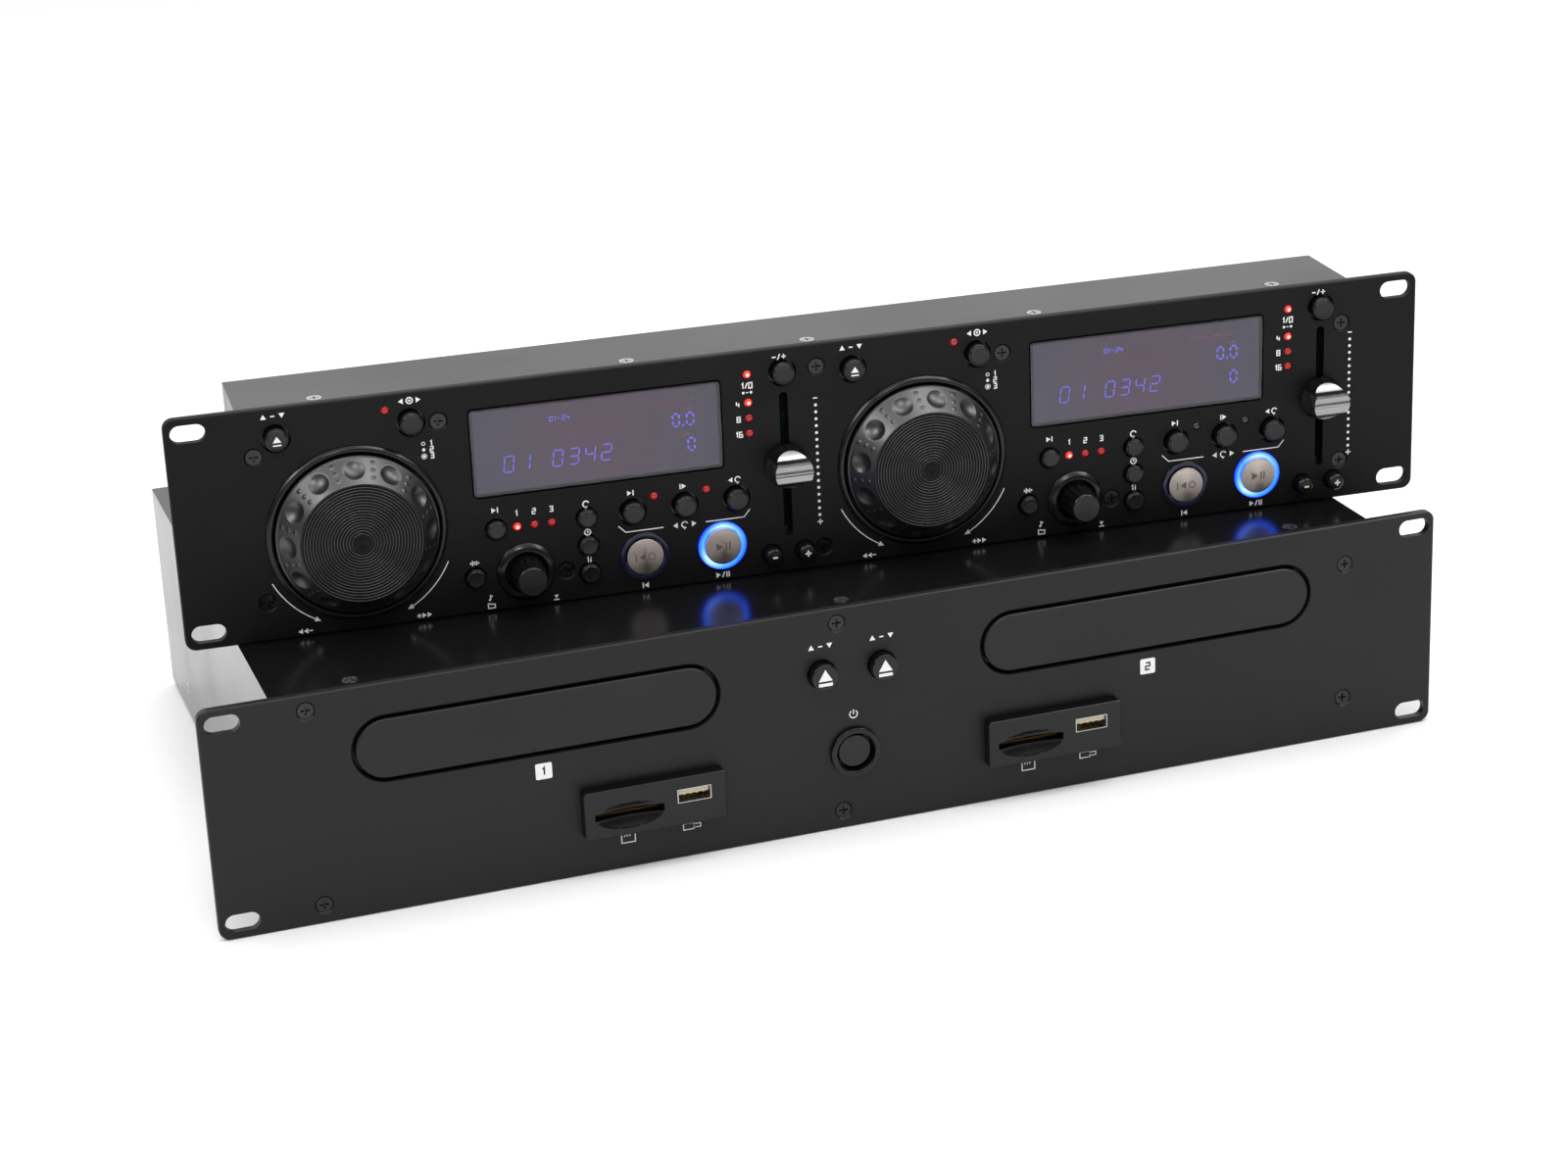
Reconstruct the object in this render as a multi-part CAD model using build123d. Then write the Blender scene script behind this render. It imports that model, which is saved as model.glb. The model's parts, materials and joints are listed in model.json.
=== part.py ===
from build123d import *
import os
from math import cos, radians, sin

# A dual disc player for a DJ: two 19-inch rack boxes, each two units high. The drive unit, with two
# disc trays, stands on the surface. The control unit, with two decks of keys, stands on its cover.
# Millimetres. The row's origin is the middle of the drive unit's footprint, on the surface.
# X goes right, Y goes back, Z goes up. Each unit is drawn square in a frame of its own, whose origin
# is the middle of its panel's front face, and is then put in place.

# ---------------------------------------------------------------- driving dimensions
# Both front panels, to the rack standard
rack_width = 482.6
panel_height = 88.1
panel_thick = 3.0
panel_corner = 4.0
panel_edge = 0.5
rack_slot_pitch_x = 465.1
rack_slot_pitch_z = 76.2
rack_slot_long = 12.7
rack_slot_high = 6.8

# How the two units stand
standing_gap = 0.3          # between the drive panel's lower edge and the surface
seat_gap = 0.3              # between the control unit's underside and the drive unit's cover
control_setback = 46.0      # the control panel's face behind the drive panel's face
control_shift = 7.1
control_yaw = -3.7          # degrees: the control unit's right end stands a little forward

# Fits
running_fit = 0.05          # radial, a shaft in its hole
seam = 0.1                  # between sheets and mouldings of one unit
key_gap = 0.2               # between a key's flange and the panel behind which it rests
tray_gap = 0.3              # between a tray and its rails
past = 1.0                  # how far a cutting shape runs past what it cuts

# Sheet metal
case_width = 430.0
sheet = 1.0
drive_depth = 254.0         # panel face to rear wall
drive_top_drop = 1.4        # cover's top below the panel's upper edge
drive_floor_rise = 2.3      # chassis floor above the panel's lower edge
control_depth = 43.0
control_top_drop = 1.2
frame_rail = 1.9            # flange round the control housing's open front, top and bottom
frame_stile = 7.5           # the same, at the sides
frame_clear = 0.4           # cut back round the keys' flanges
lip_thick = 1.6             # bar under a top sheet, for its screws
lip_front = 5.5
lip_deep = 10.0
drive_rail = 10.0
drive_stile = 20.0
drive_head_rail = 5.0
foot_radius = 10.0
foot_draft = 1.5            # a foot narrows by this to its lower end
foot_inset_x = 30.0
foot_inset_y = 28.0          # a fifth is in the middle of the floor

# Screws: countersunk, cross-headed, 3 mm
screw_radius = 1.5
screw_head_radius = 2.9
screw_head_depth = 1.7
screw_long = 5.0
cross_arm = 1.7
cross_wide = 0.6
cross_deep = 1.0
countersink_radius = 3.2
panel_screw_sunk = 0.5      # a panel's screws lie this far below its face

# Deck layout: x from the deck's own jog wheel, z from the middle of the panel
deck_pitch = 215.2
first_jog_x = -175.7
jog_z = -6.7
upper_row = 32.5
middle_row = -12.4
lower_row = -30.1
list_column = 85.0
list_step = 10.75
fader_x = 162.0

# Keys: (x, z, kind)
key_places = {
    "eject_button": (-26.0, upper_row, "ringed"),
    "jog_mode_button": (22.8, upper_row, "ringed"),
    "pitch_button": (fader_x, 34.5, "ringed"),
    "source_button": (50.9, middle_row, "small"),
    "bpm_button": (42.0, lower_row, "small"),
    "repeat_button": (list_column, middle_row, "small"),
    "time_button": (list_column, middle_row - list_step, "small"),
    "single_button": (list_column, middle_row - 2 * list_step, "small"),
    "loop_in_button": (102.5, middle_row, "ringed"),
    "loop_out_button": (122.4, middle_row, "ringed"),
    "reloop_button": (142.3, middle_row, "ringed"),
    "minus_button": (155.0, -36.1, "tall"),
    "plus_button": (167.9, -36.1, "tall"),
    "cue_button": (106.0, lower_row, "metal"),
    "play_button": (136.0, lower_row, "metal"),
}
# Kinds: (hole radius, cap radius, how far it stands out, rounding of its edge, travel)
key_kinds = {
    "ringed": (5.4, 4.4, 3.2, 0.7, 0.6),
    "small": (4.3, 3.8, 2.4, 0.7, 0.6),
    "tall": (3.95, 3.5, 4.8, 1.5, 0.6),
    "metal": (9.35, 7.05, 1.8, 0.3, 0.8),
    "tray": (5.75, 5.2, 4.2, 0.6, 0.8),
    "power": (9.8, 6.4, 0.0, 0.4, 1.5),
}
flange_over = 0.8           # a key's flange past its hole
flange_thick = 1.0
stem_radius = 1.6
switch_side = 6.0
switch_high = 4.3
stem_gap = 0.1              # a pressed key's stem stops this far off the switch's body

# Light rings round the cue and play keys, and the collar round the power key
ring_wall = 1.95
ring_stands = 1.0
ring_flange = 1.2
collar_wall = 2.3
collar_stands = 2.0

# Jog wheels
bezel_gap = 0.8             # round the wheel
bezel_wall = 2.6
bezel_stands = 1.6
bezel_edge = 0.6
bezel_slope = 1.0
bezel_rim = 0.4
bezel_lip_back = 1.5
lining_lip = 0.4            # a lining's inner edge stands in by this
jog_radius = 29.9
jog_rim_stands = 2.3
jog_disc_radius = 22.4
jog_stands = 12.3
jog_wall = 2.0
jog_skirt = 0.8             # the rim's lower edge behind the panel's face
jog_hub_radius = 7.0
jog_spindle_radius = 4.0
jog_hub_long = 19.0
jog_step_wide = 0.4         # small slope between disc and rim
jog_step_high = 0.8
jog_edge = 0.4
jog_disc_rim = 1.0          # smooth outer edge of the grooved disc
jog_end_gap = 1.0           # between the wheel's inside and its spindle's tip
jog_base_over = 4.0         # spindle's base plate past the hub
jog_base_thick = 2.0
dimple_count = 12
dimple_ball = 7.5
dimple_radius = 4.3
dimple_phase = (0.0, -9.5)
finger_centre = 4.4         # smooth middle of the grooved disc
groove_pitch = 0.95
groove_deep = 0.35
groove_over = 0.1           # a groove's cutter starts this far above the disc

# Track knobs
surround_gap = 0.7          # round the knob
surround_wall = 3.75
surround_stands = 2.2
surround_edge = 0.8
surround_slope = 1.6
surround_fall = 0.3
surround_rim = 0.5
surround_lip_back = 1.0
knob_base_radius = 6.7
knob_face_radius = 5.6
knob_stands = 13.0
knob_behind = 0.4           # knob's foot off the panel's face
knob_edge = 0.6
knob_band = 3.0             # plain band at the knob's foot
knob_roof = 3.0             # thickness over the shaft's tip
knob_flutes = 14
flute_radius = 0.45
flute_start = 1.2
shaft_radius = 3.0
encoder_side = 12.4
encoder_high = 6.0
encoder_back = 0.6
knob_push = 0.5
knob_x = 61.0

# Pitch faders
slot_long = 56.6
slot_wide = 3.3
slot_z = -1.5
cap_base_radius = 8.5
cap_face_radius = 7.3
cap_clear = 2.0
cap_stands = 12.6
cap_band = 1.0
cap_bar = 7.2
scoop_radius = 9.0
scoop_lift = 1.5
lever_thick = 1.2
lever_high = 5.0
lever_root = 1.0            # into the cap
lever_short = 3.0           # off the board
lever_end_gap = 1.0         # past the lever at each end of its travel
pot_wide = 9.0
pot_long = 63.0
pot_front = 5.0
pot_slot = 2.4
pot_back = 1.0
fader_travel = 23.0         # each way from the middle

# Display windows
window_x = 90.9
window_z = 17.4
window_wide = 95.2
window_high = 34.7
window_corner = 2.0
window_gap = 0.6
window_stands = 0.5
window_lip = 2.2
window_lip_thick = 1.2
tube_wide = 88.0
tube_high = 28.0
tube_front = 6.0

# Indicator LEDs: (x, z)
led_radius = 1.5
led_stands = 0.6
led_hole = 1.6
led_crown_radius = 0.9
led_crown_drop = 0.2
led_dome_high = 0.9
led_places = (
    (13.8, 38.1),
    (58.9, middle_row), (65.4, middle_row), (71.9, middle_row),
    (110.9, -7.3), (131.0, -7.3),
    (148.6, 35.2), (148.6, 24.3), (148.6, 18.3), (148.6, 12.4),
)

# Control unit's screws and board
board_front = 14.0
board_thick = 1.6
board_wide = 408.0
board_high = 76.0
post_radius = 2.6
post_end = 2.0              # solid end of a bored post
control_screws_at = (
    (-210.2, 26.3), (-210.2, -29.2), (-142.9, 31.6), (-99.6, -32.0), (-0.5, 35.1),
    (-0.1, -36.1), (72.2, 31.6), (115.4, -32.0), (210.2, 27.2), (210.2, -28.6),
)
control_top_screws_x = (-185.6, -70.0, -0.9, 88.6, 185.6)
top_screw_y = 10.5

# Drive unit's front
tray_x = 119.7
tray_z = 19.0
tray_slot_over = 8.5        # panel's slot past the tray, both sides together
tray_slot_high = 25.0
door_gap = 1.25
door_stands = 0.6
door_edge = 0.4
eject_x = 11.8
power_z = -13.8
port_x = 79.2
port_z = -19.5
port_wide = 54.1
port_high = 18.9
port_stands = 4.9
port_corner = 1.2
port_behind = 6.0
port_flange = 2.0
card_slot_x = -10.1
card_slot_z = -0.9
card_slot_wide = 26.4
card_slot_high = 2.9
card_mouth_wide = 25.4      # the slot in the reader behind the moulding
card_mouth_high = 2.3
card_deep = 24.0
reader_wall_x = 1.5
reader_wall_z = 1.0
reader_back = 1.0
card_dish_radius = 14.0
card_dish_half = 6.0
card_dish_deep = 2.4
usb_x = 14.8
usb_z = 1.9
usb_wide = 13.1
usb_high = 5.7
usb_wall = 0.4
usb_deep = 14.0
usb_sunk = 0.4
usb_back_wall = 1.5
usb_tongue_thick = 1.8
usb_tongue_sunk = 1.0
drive_screw_below = 6.05    # below the panel's upper edge
drive_screw_above = 6.85    # above its lower edge
drive_top_screws_x = (-184.5, 0.5, 184.5)
side_screw_y = (60.0, 210.0)
side_screw_z = -30.0

# Tray loaders
tray_rim = 3.4              # beside the disc's well
tray_thick = 8.0
tray_low = 12.5             # tray's underside
tray_travel = 138.0
tray_hold = 20.0            # still between the rails when the tray is out
tray_long = tray_travel + tray_hold
disc_centre_y = 68.0
disc_well_radius = 60.6
disc_well_deep = 3.0
small_disc_radius = 40.6
small_disc_deep = 1.2
spindle_window = 36.0
window_over = 12.0          # the window's end behind the small well
loader_wall = 5.0
loader_tail = 20.0          # behind the tray
loader_front = 6.0
loader_base_low = -9.0
loader_base = 3.0
ledge_wide = 4.0
ledge_thick = 2.5
bridge_deep = 42.0
bridge_rise = 9.0
bridge_thick = 2.0
puck_gap = 1.0              # between the clamp puck and the tray
turntable_radius = 14.0
turntable_thick = 2.2
turntable_hub_radius = 7.3
turntable_hub_high = 2.4
spindle_radius = 1.25
spindle_end_gap = 0.2
motor_radius = 12.0
motor_high = 8.0
motor_floor = 1.0
guide_radius = 1.5
guide_rise = 5.0
guide_gap = 2.0             # between the motor and the guides' front ends
guide_long = 58.0
guide_block_half = 3.0
guide_block_deep = 2.0
guide_spread = 20.0
sled_long = 20.0
sled_start = 8.0
sled_over = 3.0
sled_half_high = 3.5
lens_radius = 2.5
lens_high = 1.2
leg_radius = 4.0
leg_inset = 8.0
loader_leg_y = (30.0, 170.0)

# Drive unit's boards
main_board_wide = 150.0
main_board_deep = 150.0
main_board_left = 50.0
board_rear_gap = 15.0
board_post_inset = 5.0
leg_hole_over = 1.0         # round a loader's leg where it passes a board
supply_x = (-34.0, 34.0)
supply_y = (90.0, 225.0)
transformer_x = (-28.0, 28.0)
transformer_y = (150.0, 205.0)
transformer_high = 42.0
capacitors_at = ((-14.0, 125.0), (12.0, 125.0))
capacitor_radius = 9.0
capacitor_high = 30.0
chips_at = ((80.0, 160.0), (120.0, 150.0), (150.0, 190.0))
chip_side = 16.0
chip_high = 2.4
front_board_wide = 60.0
front_board_high = 62.0
front_posts_at = ((-24.0, -4.0), (24.0, -4.0))
front_board_y = 20.0
board_stand = 6.0

# Rear sockets of the drive unit: x and z from the middle of the rear wall, seen from the front
line_socket_x = (-150.0, -130.0, 130.0, 150.0)
line_socket_z = 8.0
digital_socket_x = (-100.0, 100.0)
link_socket_x = (-60.0, 60.0)
low_socket_z = -14.0
barrel_radius = 4.15
barrel_long = 8.5
barrel_bore = 1.65
socket_body = 12.0
socket_deep = 10.0
socket_bore_deep = 6.0
link_radius = 7.0
link_deep = 12.0
link_stands = 1.5
inlet_x = 0.0
inlet_z = -14.0
inlet_wide = 27.0
inlet_high = 19.5
inlet_deep = 20.0
inlet_flange_wide = 48.0
inlet_flange_high = 22.5
inlet_flange = 2.5
inlet_wall = 1.6
inlet_back = 2.0
inlet_flange_corner = 3.0
inlet_pins_at = ((-7.0, 0.0), (7.0, 0.0), (0.0, 4.0))
pin_wide = 2.0
pin_high = 4.0
pin_sunk = 2.0

# ---------------------------------------------------------------- places worked out from them
panel_low = -panel_height / 2
panel_top = panel_height / 2
drive_top = panel_top - drive_top_drop
drive_floor = panel_low + drive_floor_rise
control_top = panel_top - control_top_drop
surface = panel_low - standing_gap
drive_screws_at = (
    (-203.0, panel_top - drive_screw_below),
    (-203.0, panel_low + drive_screw_above),
    (-5.2, panel_top - drive_screw_below),
    (-5.2, panel_low + drive_screw_above),
    (203.0, 27.8),
    (203.0, -27.8),
)
jog_x = (first_jog_x, first_jog_x + deck_pitch)
bezel_bore = jog_radius + bezel_gap
bezel_radius = bezel_bore + bezel_wall
surround_bore = knob_base_radius + surround_gap
surround_radius = surround_bore + surround_wall
tray_wide = 2 * (disc_well_radius + tray_rim)
tray_slot_wide = tray_wide + tray_slot_over
loader_long = tray_long + loader_tail

drive_place = Location((0, -drive_depth / 2, -surface))
control_place = Location(
    (
        control_shift,
        control_setback - drive_depth / 2,
        drive_top - surface + seat_gap - panel_low,
    ),
    (0, 0, control_yaw),
)


# ---------------------------------------------------------------- shapes that many pieces share
def block(x, y, z):
    """A box between two corners, each pair low then high."""
    return Pos((x[0] + x[1]) / 2, (y[0] + y[1]) / 2, (z[0] + z[1]) / 2) * Box(
        x[1] - x[0], y[1] - y[0], z[1] - z[0]
    )


def slab(x, z, wide, high, y):
    """A box centred on the panel's face at x, z, running back from y[0] to y[1]."""
    return block((x - wide / 2, x + wide / 2), y, (z - high / 2, z + high / 2))


def rod(x, z, radius, y):
    """A cylinder square to the panel."""
    return Pos(x, (y[0] + y[1]) / 2, z) * Rot(90, 0, 0) * Cylinder(radius, y[1] - y[0])


def post(x, y, radius, z):
    """An upright cylinder."""
    return Pos(x, y, (z[0] + z[1]) / 2) * Cylinder(radius, z[1] - z[0])


def turned(x, z, outline):
    """A solid turned about an axis square to the panel. The outline's points are (radius, y)."""
    face = make_face(Polyline(*outline, close=True))
    return Pos(x, 0, z) * revolve(face, Axis.Y)


def rounded(x, z, wide, high, corner, y):
    """A plate with rounded corners, square to the panel."""
    sketch = RectangleRounded(wide, high, corner)
    return Pos(x, y[0], z) * Rot(-90, 0, 0) * extrude(sketch, y[1] - y[0])


def save(name, pieces, place):
    """Each piece stays a solid of its own in the node's file."""
    solids = [solid.moved(place) for piece in pieces for solid in piece.solids()]
    export_step(Compound(solids), f"parts/{name}.step")


# ---------------------------------------------------------------- screws
def screw(x, z, y=0.0):
    """A countersunk screw with a cross recess, its head level with y."""
    body = turned(
        x,
        z,
        [
            (0, y),
            (screw_head_radius, y),
            (screw_radius, y + screw_head_depth),
            (screw_radius, y + screw_long),
            (0, y + screw_long),
        ],
    )
    cross = slab(x, z, 2 * cross_arm, cross_wide, (y - past, y + cross_deep)) + slab(
        x, z, cross_wide, 2 * cross_arm, (y - past, y + cross_deep)
    )
    return body - cross


def screw_hole(x, z, thick, sunk=0.0):
    """The countersunk hole that such a screw lies in, its head this far below the face."""
    slack = countersink_radius - screw_head_radius
    mouth = countersink_radius + sunk * (screw_head_radius - screw_radius) / screw_head_depth
    return turned(
        x,
        z,
        [
            (0, -past),
            (mouth + past, -past),
            (mouth, 0),
            (screw_radius + slack, sunk + screw_head_depth),
            (screw_radius + slack, thick + past),
            (0, thick + past),
        ],
    )


def down(x, y, z, piece):
    """Turns a piece made square to the panel so that it points down into a top sheet."""
    return Pos(x, y, z) * Rot(-90, 0, 0) * piece


def sideways(x, y, z, piece, side):
    """Turns a piece made square to the panel so that it points in from a side wall."""
    return Pos(x, y, z) * Rot(0, 0, 90 * side) * piece


# ---------------------------------------------------------------- keys
def key(x, z, kind, board):
    """A cap through its hole, a flange behind the panel or ring, and a stem to its switch."""
    hole, cap, stands, edge, travel = key_kinds[kind]
    back = panel_thick + key_gap
    if kind in ("metal", "power"):
        back += ring_flange
    stem_end = board - switch_high - travel - stem_gap
    return turned(
        x,
        z,
        [
            (0, -stands),
            (cap - edge, -stands),
            (cap, -stands + edge),
            (cap, back),
            (hole + flange_over, back),
            (hole + flange_over, back + flange_thick),
            (stem_radius, back + flange_thick),
            (stem_radius, stem_end),
            (0, stem_end),
        ],
    )


def switch(x, z, board):
    return slab(x, z, switch_side, switch_side, (board - switch_high, board))


def lined_ring(x, z, hole, wall, stands):
    """A ring that lines a key's hole: it stands out in front and is flanged behind the panel."""
    outer = hole - seam / 2
    inner = hole - wall
    crown = wall / 3
    flange = hole + ring_flange
    back = panel_thick + seam / 2
    return turned(
        x,
        z,
        [
            (inner, -stands + crown / 2),
            (inner + crown, -stands),
            (outer - crown, -stands),
            (outer, -stands + crown),
            (outer, back),
            (flange, back),
            (flange, back + ring_flange),
            (inner, back + ring_flange),
        ],
    )


# ---------------------------------------------------------------- front panels
def rack_panel():
    """The plate both units share, with its four rack slots."""
    plate = rounded(0, 0, rack_width, panel_height, panel_corner, (0, panel_thick))
    front = plate.edges().group_by(Axis.Y)[0]
    plate = chamfer(front, panel_edge)
    for x in (-rack_slot_pitch_x / 2, rack_slot_pitch_x / 2):
        for z in (-rack_slot_pitch_z / 2, rack_slot_pitch_z / 2):
            slot = Pos(x, -past, z) * Rot(-90, 0, 0) * extrude(
                SlotOverall(rack_slot_long, rack_slot_high), panel_thick + 2 * past
            )
            plate -= slot
    return plate


def control_faceplate():
    through = (-past, panel_thick + past)
    cuts = [screw_hole(x, z, panel_thick, panel_screw_sunk) for x, z in control_screws_at]
    for deck_x in jog_x:
        cuts.append(rod(deck_x, jog_z, bezel_bore + seam, through))
        cuts.append(rod(deck_x + knob_x, lower_row, surround_bore + seam, through))
        cuts.append(
            rounded(
                deck_x + window_x, window_z, window_wide, window_high, window_corner, through
            )
        )
        cuts.append(
            Pos(deck_x + fader_x, -past, slot_z)
            * Rot(-90, 0, 0)
            * extrude(SlotOverall(slot_long, slot_wide, rotation=90), panel_thick + 2 * past)
        )
        for x, z, kind in key_places.values():
            cuts.append(rod(deck_x + x, z, key_kinds[kind][0], through))
        for x, z in led_places:
            cuts.append(rod(deck_x + x, z, led_hole, through))
    return rack_panel() - cuts


def drive_faceplate():
    through = (-past, panel_thick + past)
    cuts = [screw_hole(x, z, panel_thick, panel_screw_sunk) for x, z in drive_screws_at]
    for side in (-1, 1):
        cuts.append(
            Pos(side * tray_x, -past, tray_z)
            * Rot(-90, 0, 0)
            * extrude(SlotOverall(tray_slot_wide, tray_slot_high), panel_thick + 2 * past)
        )
        cuts.append(
            rounded(
                side * port_x, port_z, port_wide + 2 * seam, port_high + 2 * seam, port_corner, through
            )
        )
        cuts.append(rod(side * eject_x, tray_z, key_kinds["tray"][0], through))
    cuts.append(rod(0, power_z, key_kinds["power"][0], through))
    return rack_panel() - cuts


# ---------------------------------------------------------------- control unit's static pieces
def control_housing():
    """A sheet box, open to the panel, with a flange round the opening."""
    half = case_width / 2
    outer = block((-half, half), (panel_thick, control_depth), (panel_low, control_top))
    inner = block(
        (-half + sheet, half - sheet),
        (panel_thick + sheet, control_depth - sheet),
        (panel_low + sheet, control_top - sheet),
    )
    mouth = block(
        (-half + frame_stile, half - frame_stile),
        (panel_thick - past, panel_thick + 2 * sheet),
        (panel_low + frame_rail, control_top - frame_rail),
    )
    shell = outer - inner - mouth
    shell += block(
        (-half, half),
        (lip_front, lip_front + lip_deep),
        (control_top - sheet - lip_thick, control_top),
    )
    cuts = []
    for deck_x in jog_x:
        for x, z, kind in key_places.values():
            reach = key_kinds[kind][0] + ring_flange + frame_clear
            cuts.append(rod(deck_x + x, z, reach, (panel_thick - past, lip_front - frame_clear)))
    for x, z in control_screws_at:
        if abs(x) > half - frame_stile:
            cuts.append(rod(x, z, screw_radius + running_fit, (0, panel_thick + 2 * sheet)))
    for x in control_top_screws_x:
        cuts.append(down(x, top_screw_y, control_top, screw_hole(0, 0, sheet + lip_thick)))
    for x in jog_x:
        cuts.append(rod(x, 0, link_radius + seam, (control_depth - 2 * sheet, control_depth + past)))
    return shell - cuts


def flange_reach(x, z):
    """How far behind the panel a pressed key's flange comes where a post here would meet it."""
    reach = 0.0
    for deck_x in jog_x:
        for key_x, key_z, kind in key_places.values():
            hole, cap, stands, edge, travel = key_kinds[kind]
            apart = ((deck_x + key_x - x) ** 2 + (key_z - z) ** 2) ** 0.5
            if apart < hole + flange_over + post_radius + seam:
                reach = max(reach, key_gap + flange_thick + travel + seam)
    return reach


def control_board():
    """The main board with what is soldered to it, and the posts that carry it on the panel."""
    board = (board_front, board_front + board_thick)
    plate = slab(0, 0, board_wide, board_high, board)
    pieces = []
    for x, z in control_screws_at:
        if abs(x) < board_wide / 2:
            bore = rod(x, z, screw_radius + running_fit, (0, board_front - post_end))
            front = panel_thick + flange_reach(x, z)
            pieces.append(rod(x, z, post_radius, (front, board_front)) - bore)
    for deck_x in jog_x:
        for x, z, kind in key_places.values():
            pieces.append(switch(deck_x + x, z, board_front))
        spindle_front = -jog_stands + jog_wall + jog_end_gap
        base_front = board_front - jog_base_thick
        pieces.append(
            rod(deck_x, jog_z, jog_spindle_radius, (spindle_front, base_front))
            + rod(deck_x, jog_z, jog_hub_radius + jog_base_over, (base_front, board_front))
        )
        body_span = (board_front - encoder_high, board_front)
        body = slab(deck_x + knob_x, lower_row, encoder_side, encoder_side, body_span)
        shaft_hole = rod(
            deck_x + knob_x, lower_row, shaft_radius + running_fit, (0, board_front - encoder_back)
        )
        pieces.append(body - shaft_hole)
        pot = slab(deck_x + fader_x, slot_z, pot_wide, pot_long, (pot_front, board_front))
        track = slab(
            deck_x + fader_x,
            slot_z,
            pot_slot,
            2 * (fader_travel + lever_end_gap) + lever_high,
            (pot_front - past, board_front - pot_back),
        )
        pieces.append(pot - track)
        pieces.append(
            slab(deck_x + window_x, window_z, tube_wide, tube_high, (tube_front, board_front))
        )
        pieces.append(
            rod(deck_x, 0, link_radius, (board_front + board_thick, control_depth + link_stands))
        )
    return [plate] + pieces


def indicator_leds():
    leds = []
    for deck_x in jog_x:
        for x, z in led_places:
            leds.append(
                turned(
                    deck_x + x,
                    z,
                    [
                        (0, -led_stands),
                        (led_crown_radius, -led_stands + led_crown_drop),
                        (led_radius, -led_stands + led_dome_high),
                        (led_radius, board_front),
                        (0, board_front),
                    ],
                )
            )
    return leds


def display_windows():
    panes = []
    for deck_x in jog_x:
        x = deck_x + window_x
        pane = rounded(
            x,
            window_z,
            window_wide - 2 * window_gap,
            window_high - 2 * window_gap,
            window_corner - window_gap,
            (-window_stands, panel_thick),
        )
        lip = rounded(
            x,
            window_z,
            window_wide + 2 * window_lip,
            window_high + 2 * window_lip,
            window_corner,
            (panel_thick, panel_thick + window_lip_thick),
        )
        for fixing_x, fixing_z in control_screws_at:
            if abs(fixing_x - x) < window_wide / 2 + window_lip + post_radius:
                lip -= rod(fixing_x, fixing_z, post_radius + seam, (0, board_front))
        panes.append(pane + lip)
    return panes


def trim_rings():
    """Jog bezels, knob surrounds and the light rings of the cue and play keys."""
    pieces = []
    for deck_x in jog_x:
        pieces.append(
            turned(
                deck_x,
                jog_z,
                [
                    (bezel_bore, -bezel_stands + bezel_edge),
                    (bezel_bore + bezel_edge, -bezel_stands),
                    (bezel_radius - bezel_slope, -bezel_stands),
                    (bezel_radius, -bezel_rim),
                    (bezel_radius, 0),
                    (bezel_bore + seam, 0),
                    (bezel_bore + seam, panel_thick),
                    (bezel_bore - lining_lip, panel_thick),
                    (bezel_bore - lining_lip, bezel_lip_back),
                    (bezel_bore, bezel_lip_back),
                ],
            )
        )
        pieces.append(
            turned(
                deck_x + knob_x,
                lower_row,
                [
                    (surround_bore, -surround_stands + surround_edge),
                    (surround_bore + surround_edge, -surround_stands),
                    (surround_radius - surround_slope, -surround_stands + surround_fall),
                    (surround_radius, -surround_rim),
                    (surround_radius, 0),
                    (surround_bore + seam, 0),
                    (surround_bore + seam, panel_thick),
                    (surround_bore - lining_lip, panel_thick),
                    (surround_bore - lining_lip, surround_lip_back),
                ],
            )
        )
        for x, z, kind in key_places.values():
            if kind == "metal":
                pieces.append(
                    lined_ring(deck_x + x, z, key_kinds[kind][0], ring_wall, ring_stands)
                )
    return pieces


def control_screws():
    pieces = [screw(x, z, panel_screw_sunk) for x, z in control_screws_at]
    for x in control_top_screws_x:
        pieces.append(down(x, top_screw_y, control_top, screw(0, 0)))
    return pieces


# ---------------------------------------------------------------- moving pieces of a deck
def jog_wheel(deck_x, phase):
    """A hollow wheel: sloped rim with finger dimples, grooved disc, hub on the spindle."""
    outline = [
        (jog_spindle_radius + running_fit, -jog_stands + jog_wall),
        (0, -jog_stands + jog_wall),
        (0, -jog_stands),
        (jog_disc_radius, -jog_stands),
        (jog_disc_radius + jog_step_wide, -jog_stands + jog_step_high),
        (jog_radius - jog_edge, -jog_rim_stands),
        (jog_radius, -jog_rim_stands + jog_edge),
        (jog_radius, jog_skirt),
        (jog_radius - jog_wall, jog_skirt),
        (jog_disc_radius - jog_wall, -jog_stands + jog_wall),
        (jog_hub_radius, -jog_stands + jog_wall),
        (jog_hub_radius, -jog_stands + jog_hub_long),
        (jog_spindle_radius + running_fit, -jog_stands + jog_hub_long),
    ]
    wheel = turned(0, 0, outline)
    slope = Vector(jog_radius - jog_disc_radius, jog_stands - jog_step_high - jog_rim_stands, 0)
    middle = (jog_radius + jog_disc_radius) / 2
    middle_y = -(jog_stands - jog_step_high + jog_rim_stands) / 2
    sink = (dimple_ball**2 - dimple_radius**2) ** 0.5
    out = Vector(slope.Y, -slope.X, 0).normalized()
    dimples = []
    for number in range(dimple_count):
        angle = phase + number * 360 / dimple_count
        reach = middle + out.X * sink
        dimples.append(
            Pos(reach * cos(radians(angle)), middle_y + out.Y * sink, reach * sin(radians(angle)))
            * Sphere(dimple_ball)
        )
    grooves = []
    radius = finger_centre
    while radius < jog_disc_radius - jog_disc_rim:
        grooves.append(
            turned(
                0,
                0,
                [
                    (radius, -jog_stands - groove_over),
                    (radius + groove_pitch / 2, -jog_stands - groove_over),
                    (radius + groove_pitch / 4, -jog_stands + groove_deep),
                ],
            )
        )
        radius += groove_pitch
    return [Pos(deck_x, 0, jog_z) * (wheel - dimples - grooves)]


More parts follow.
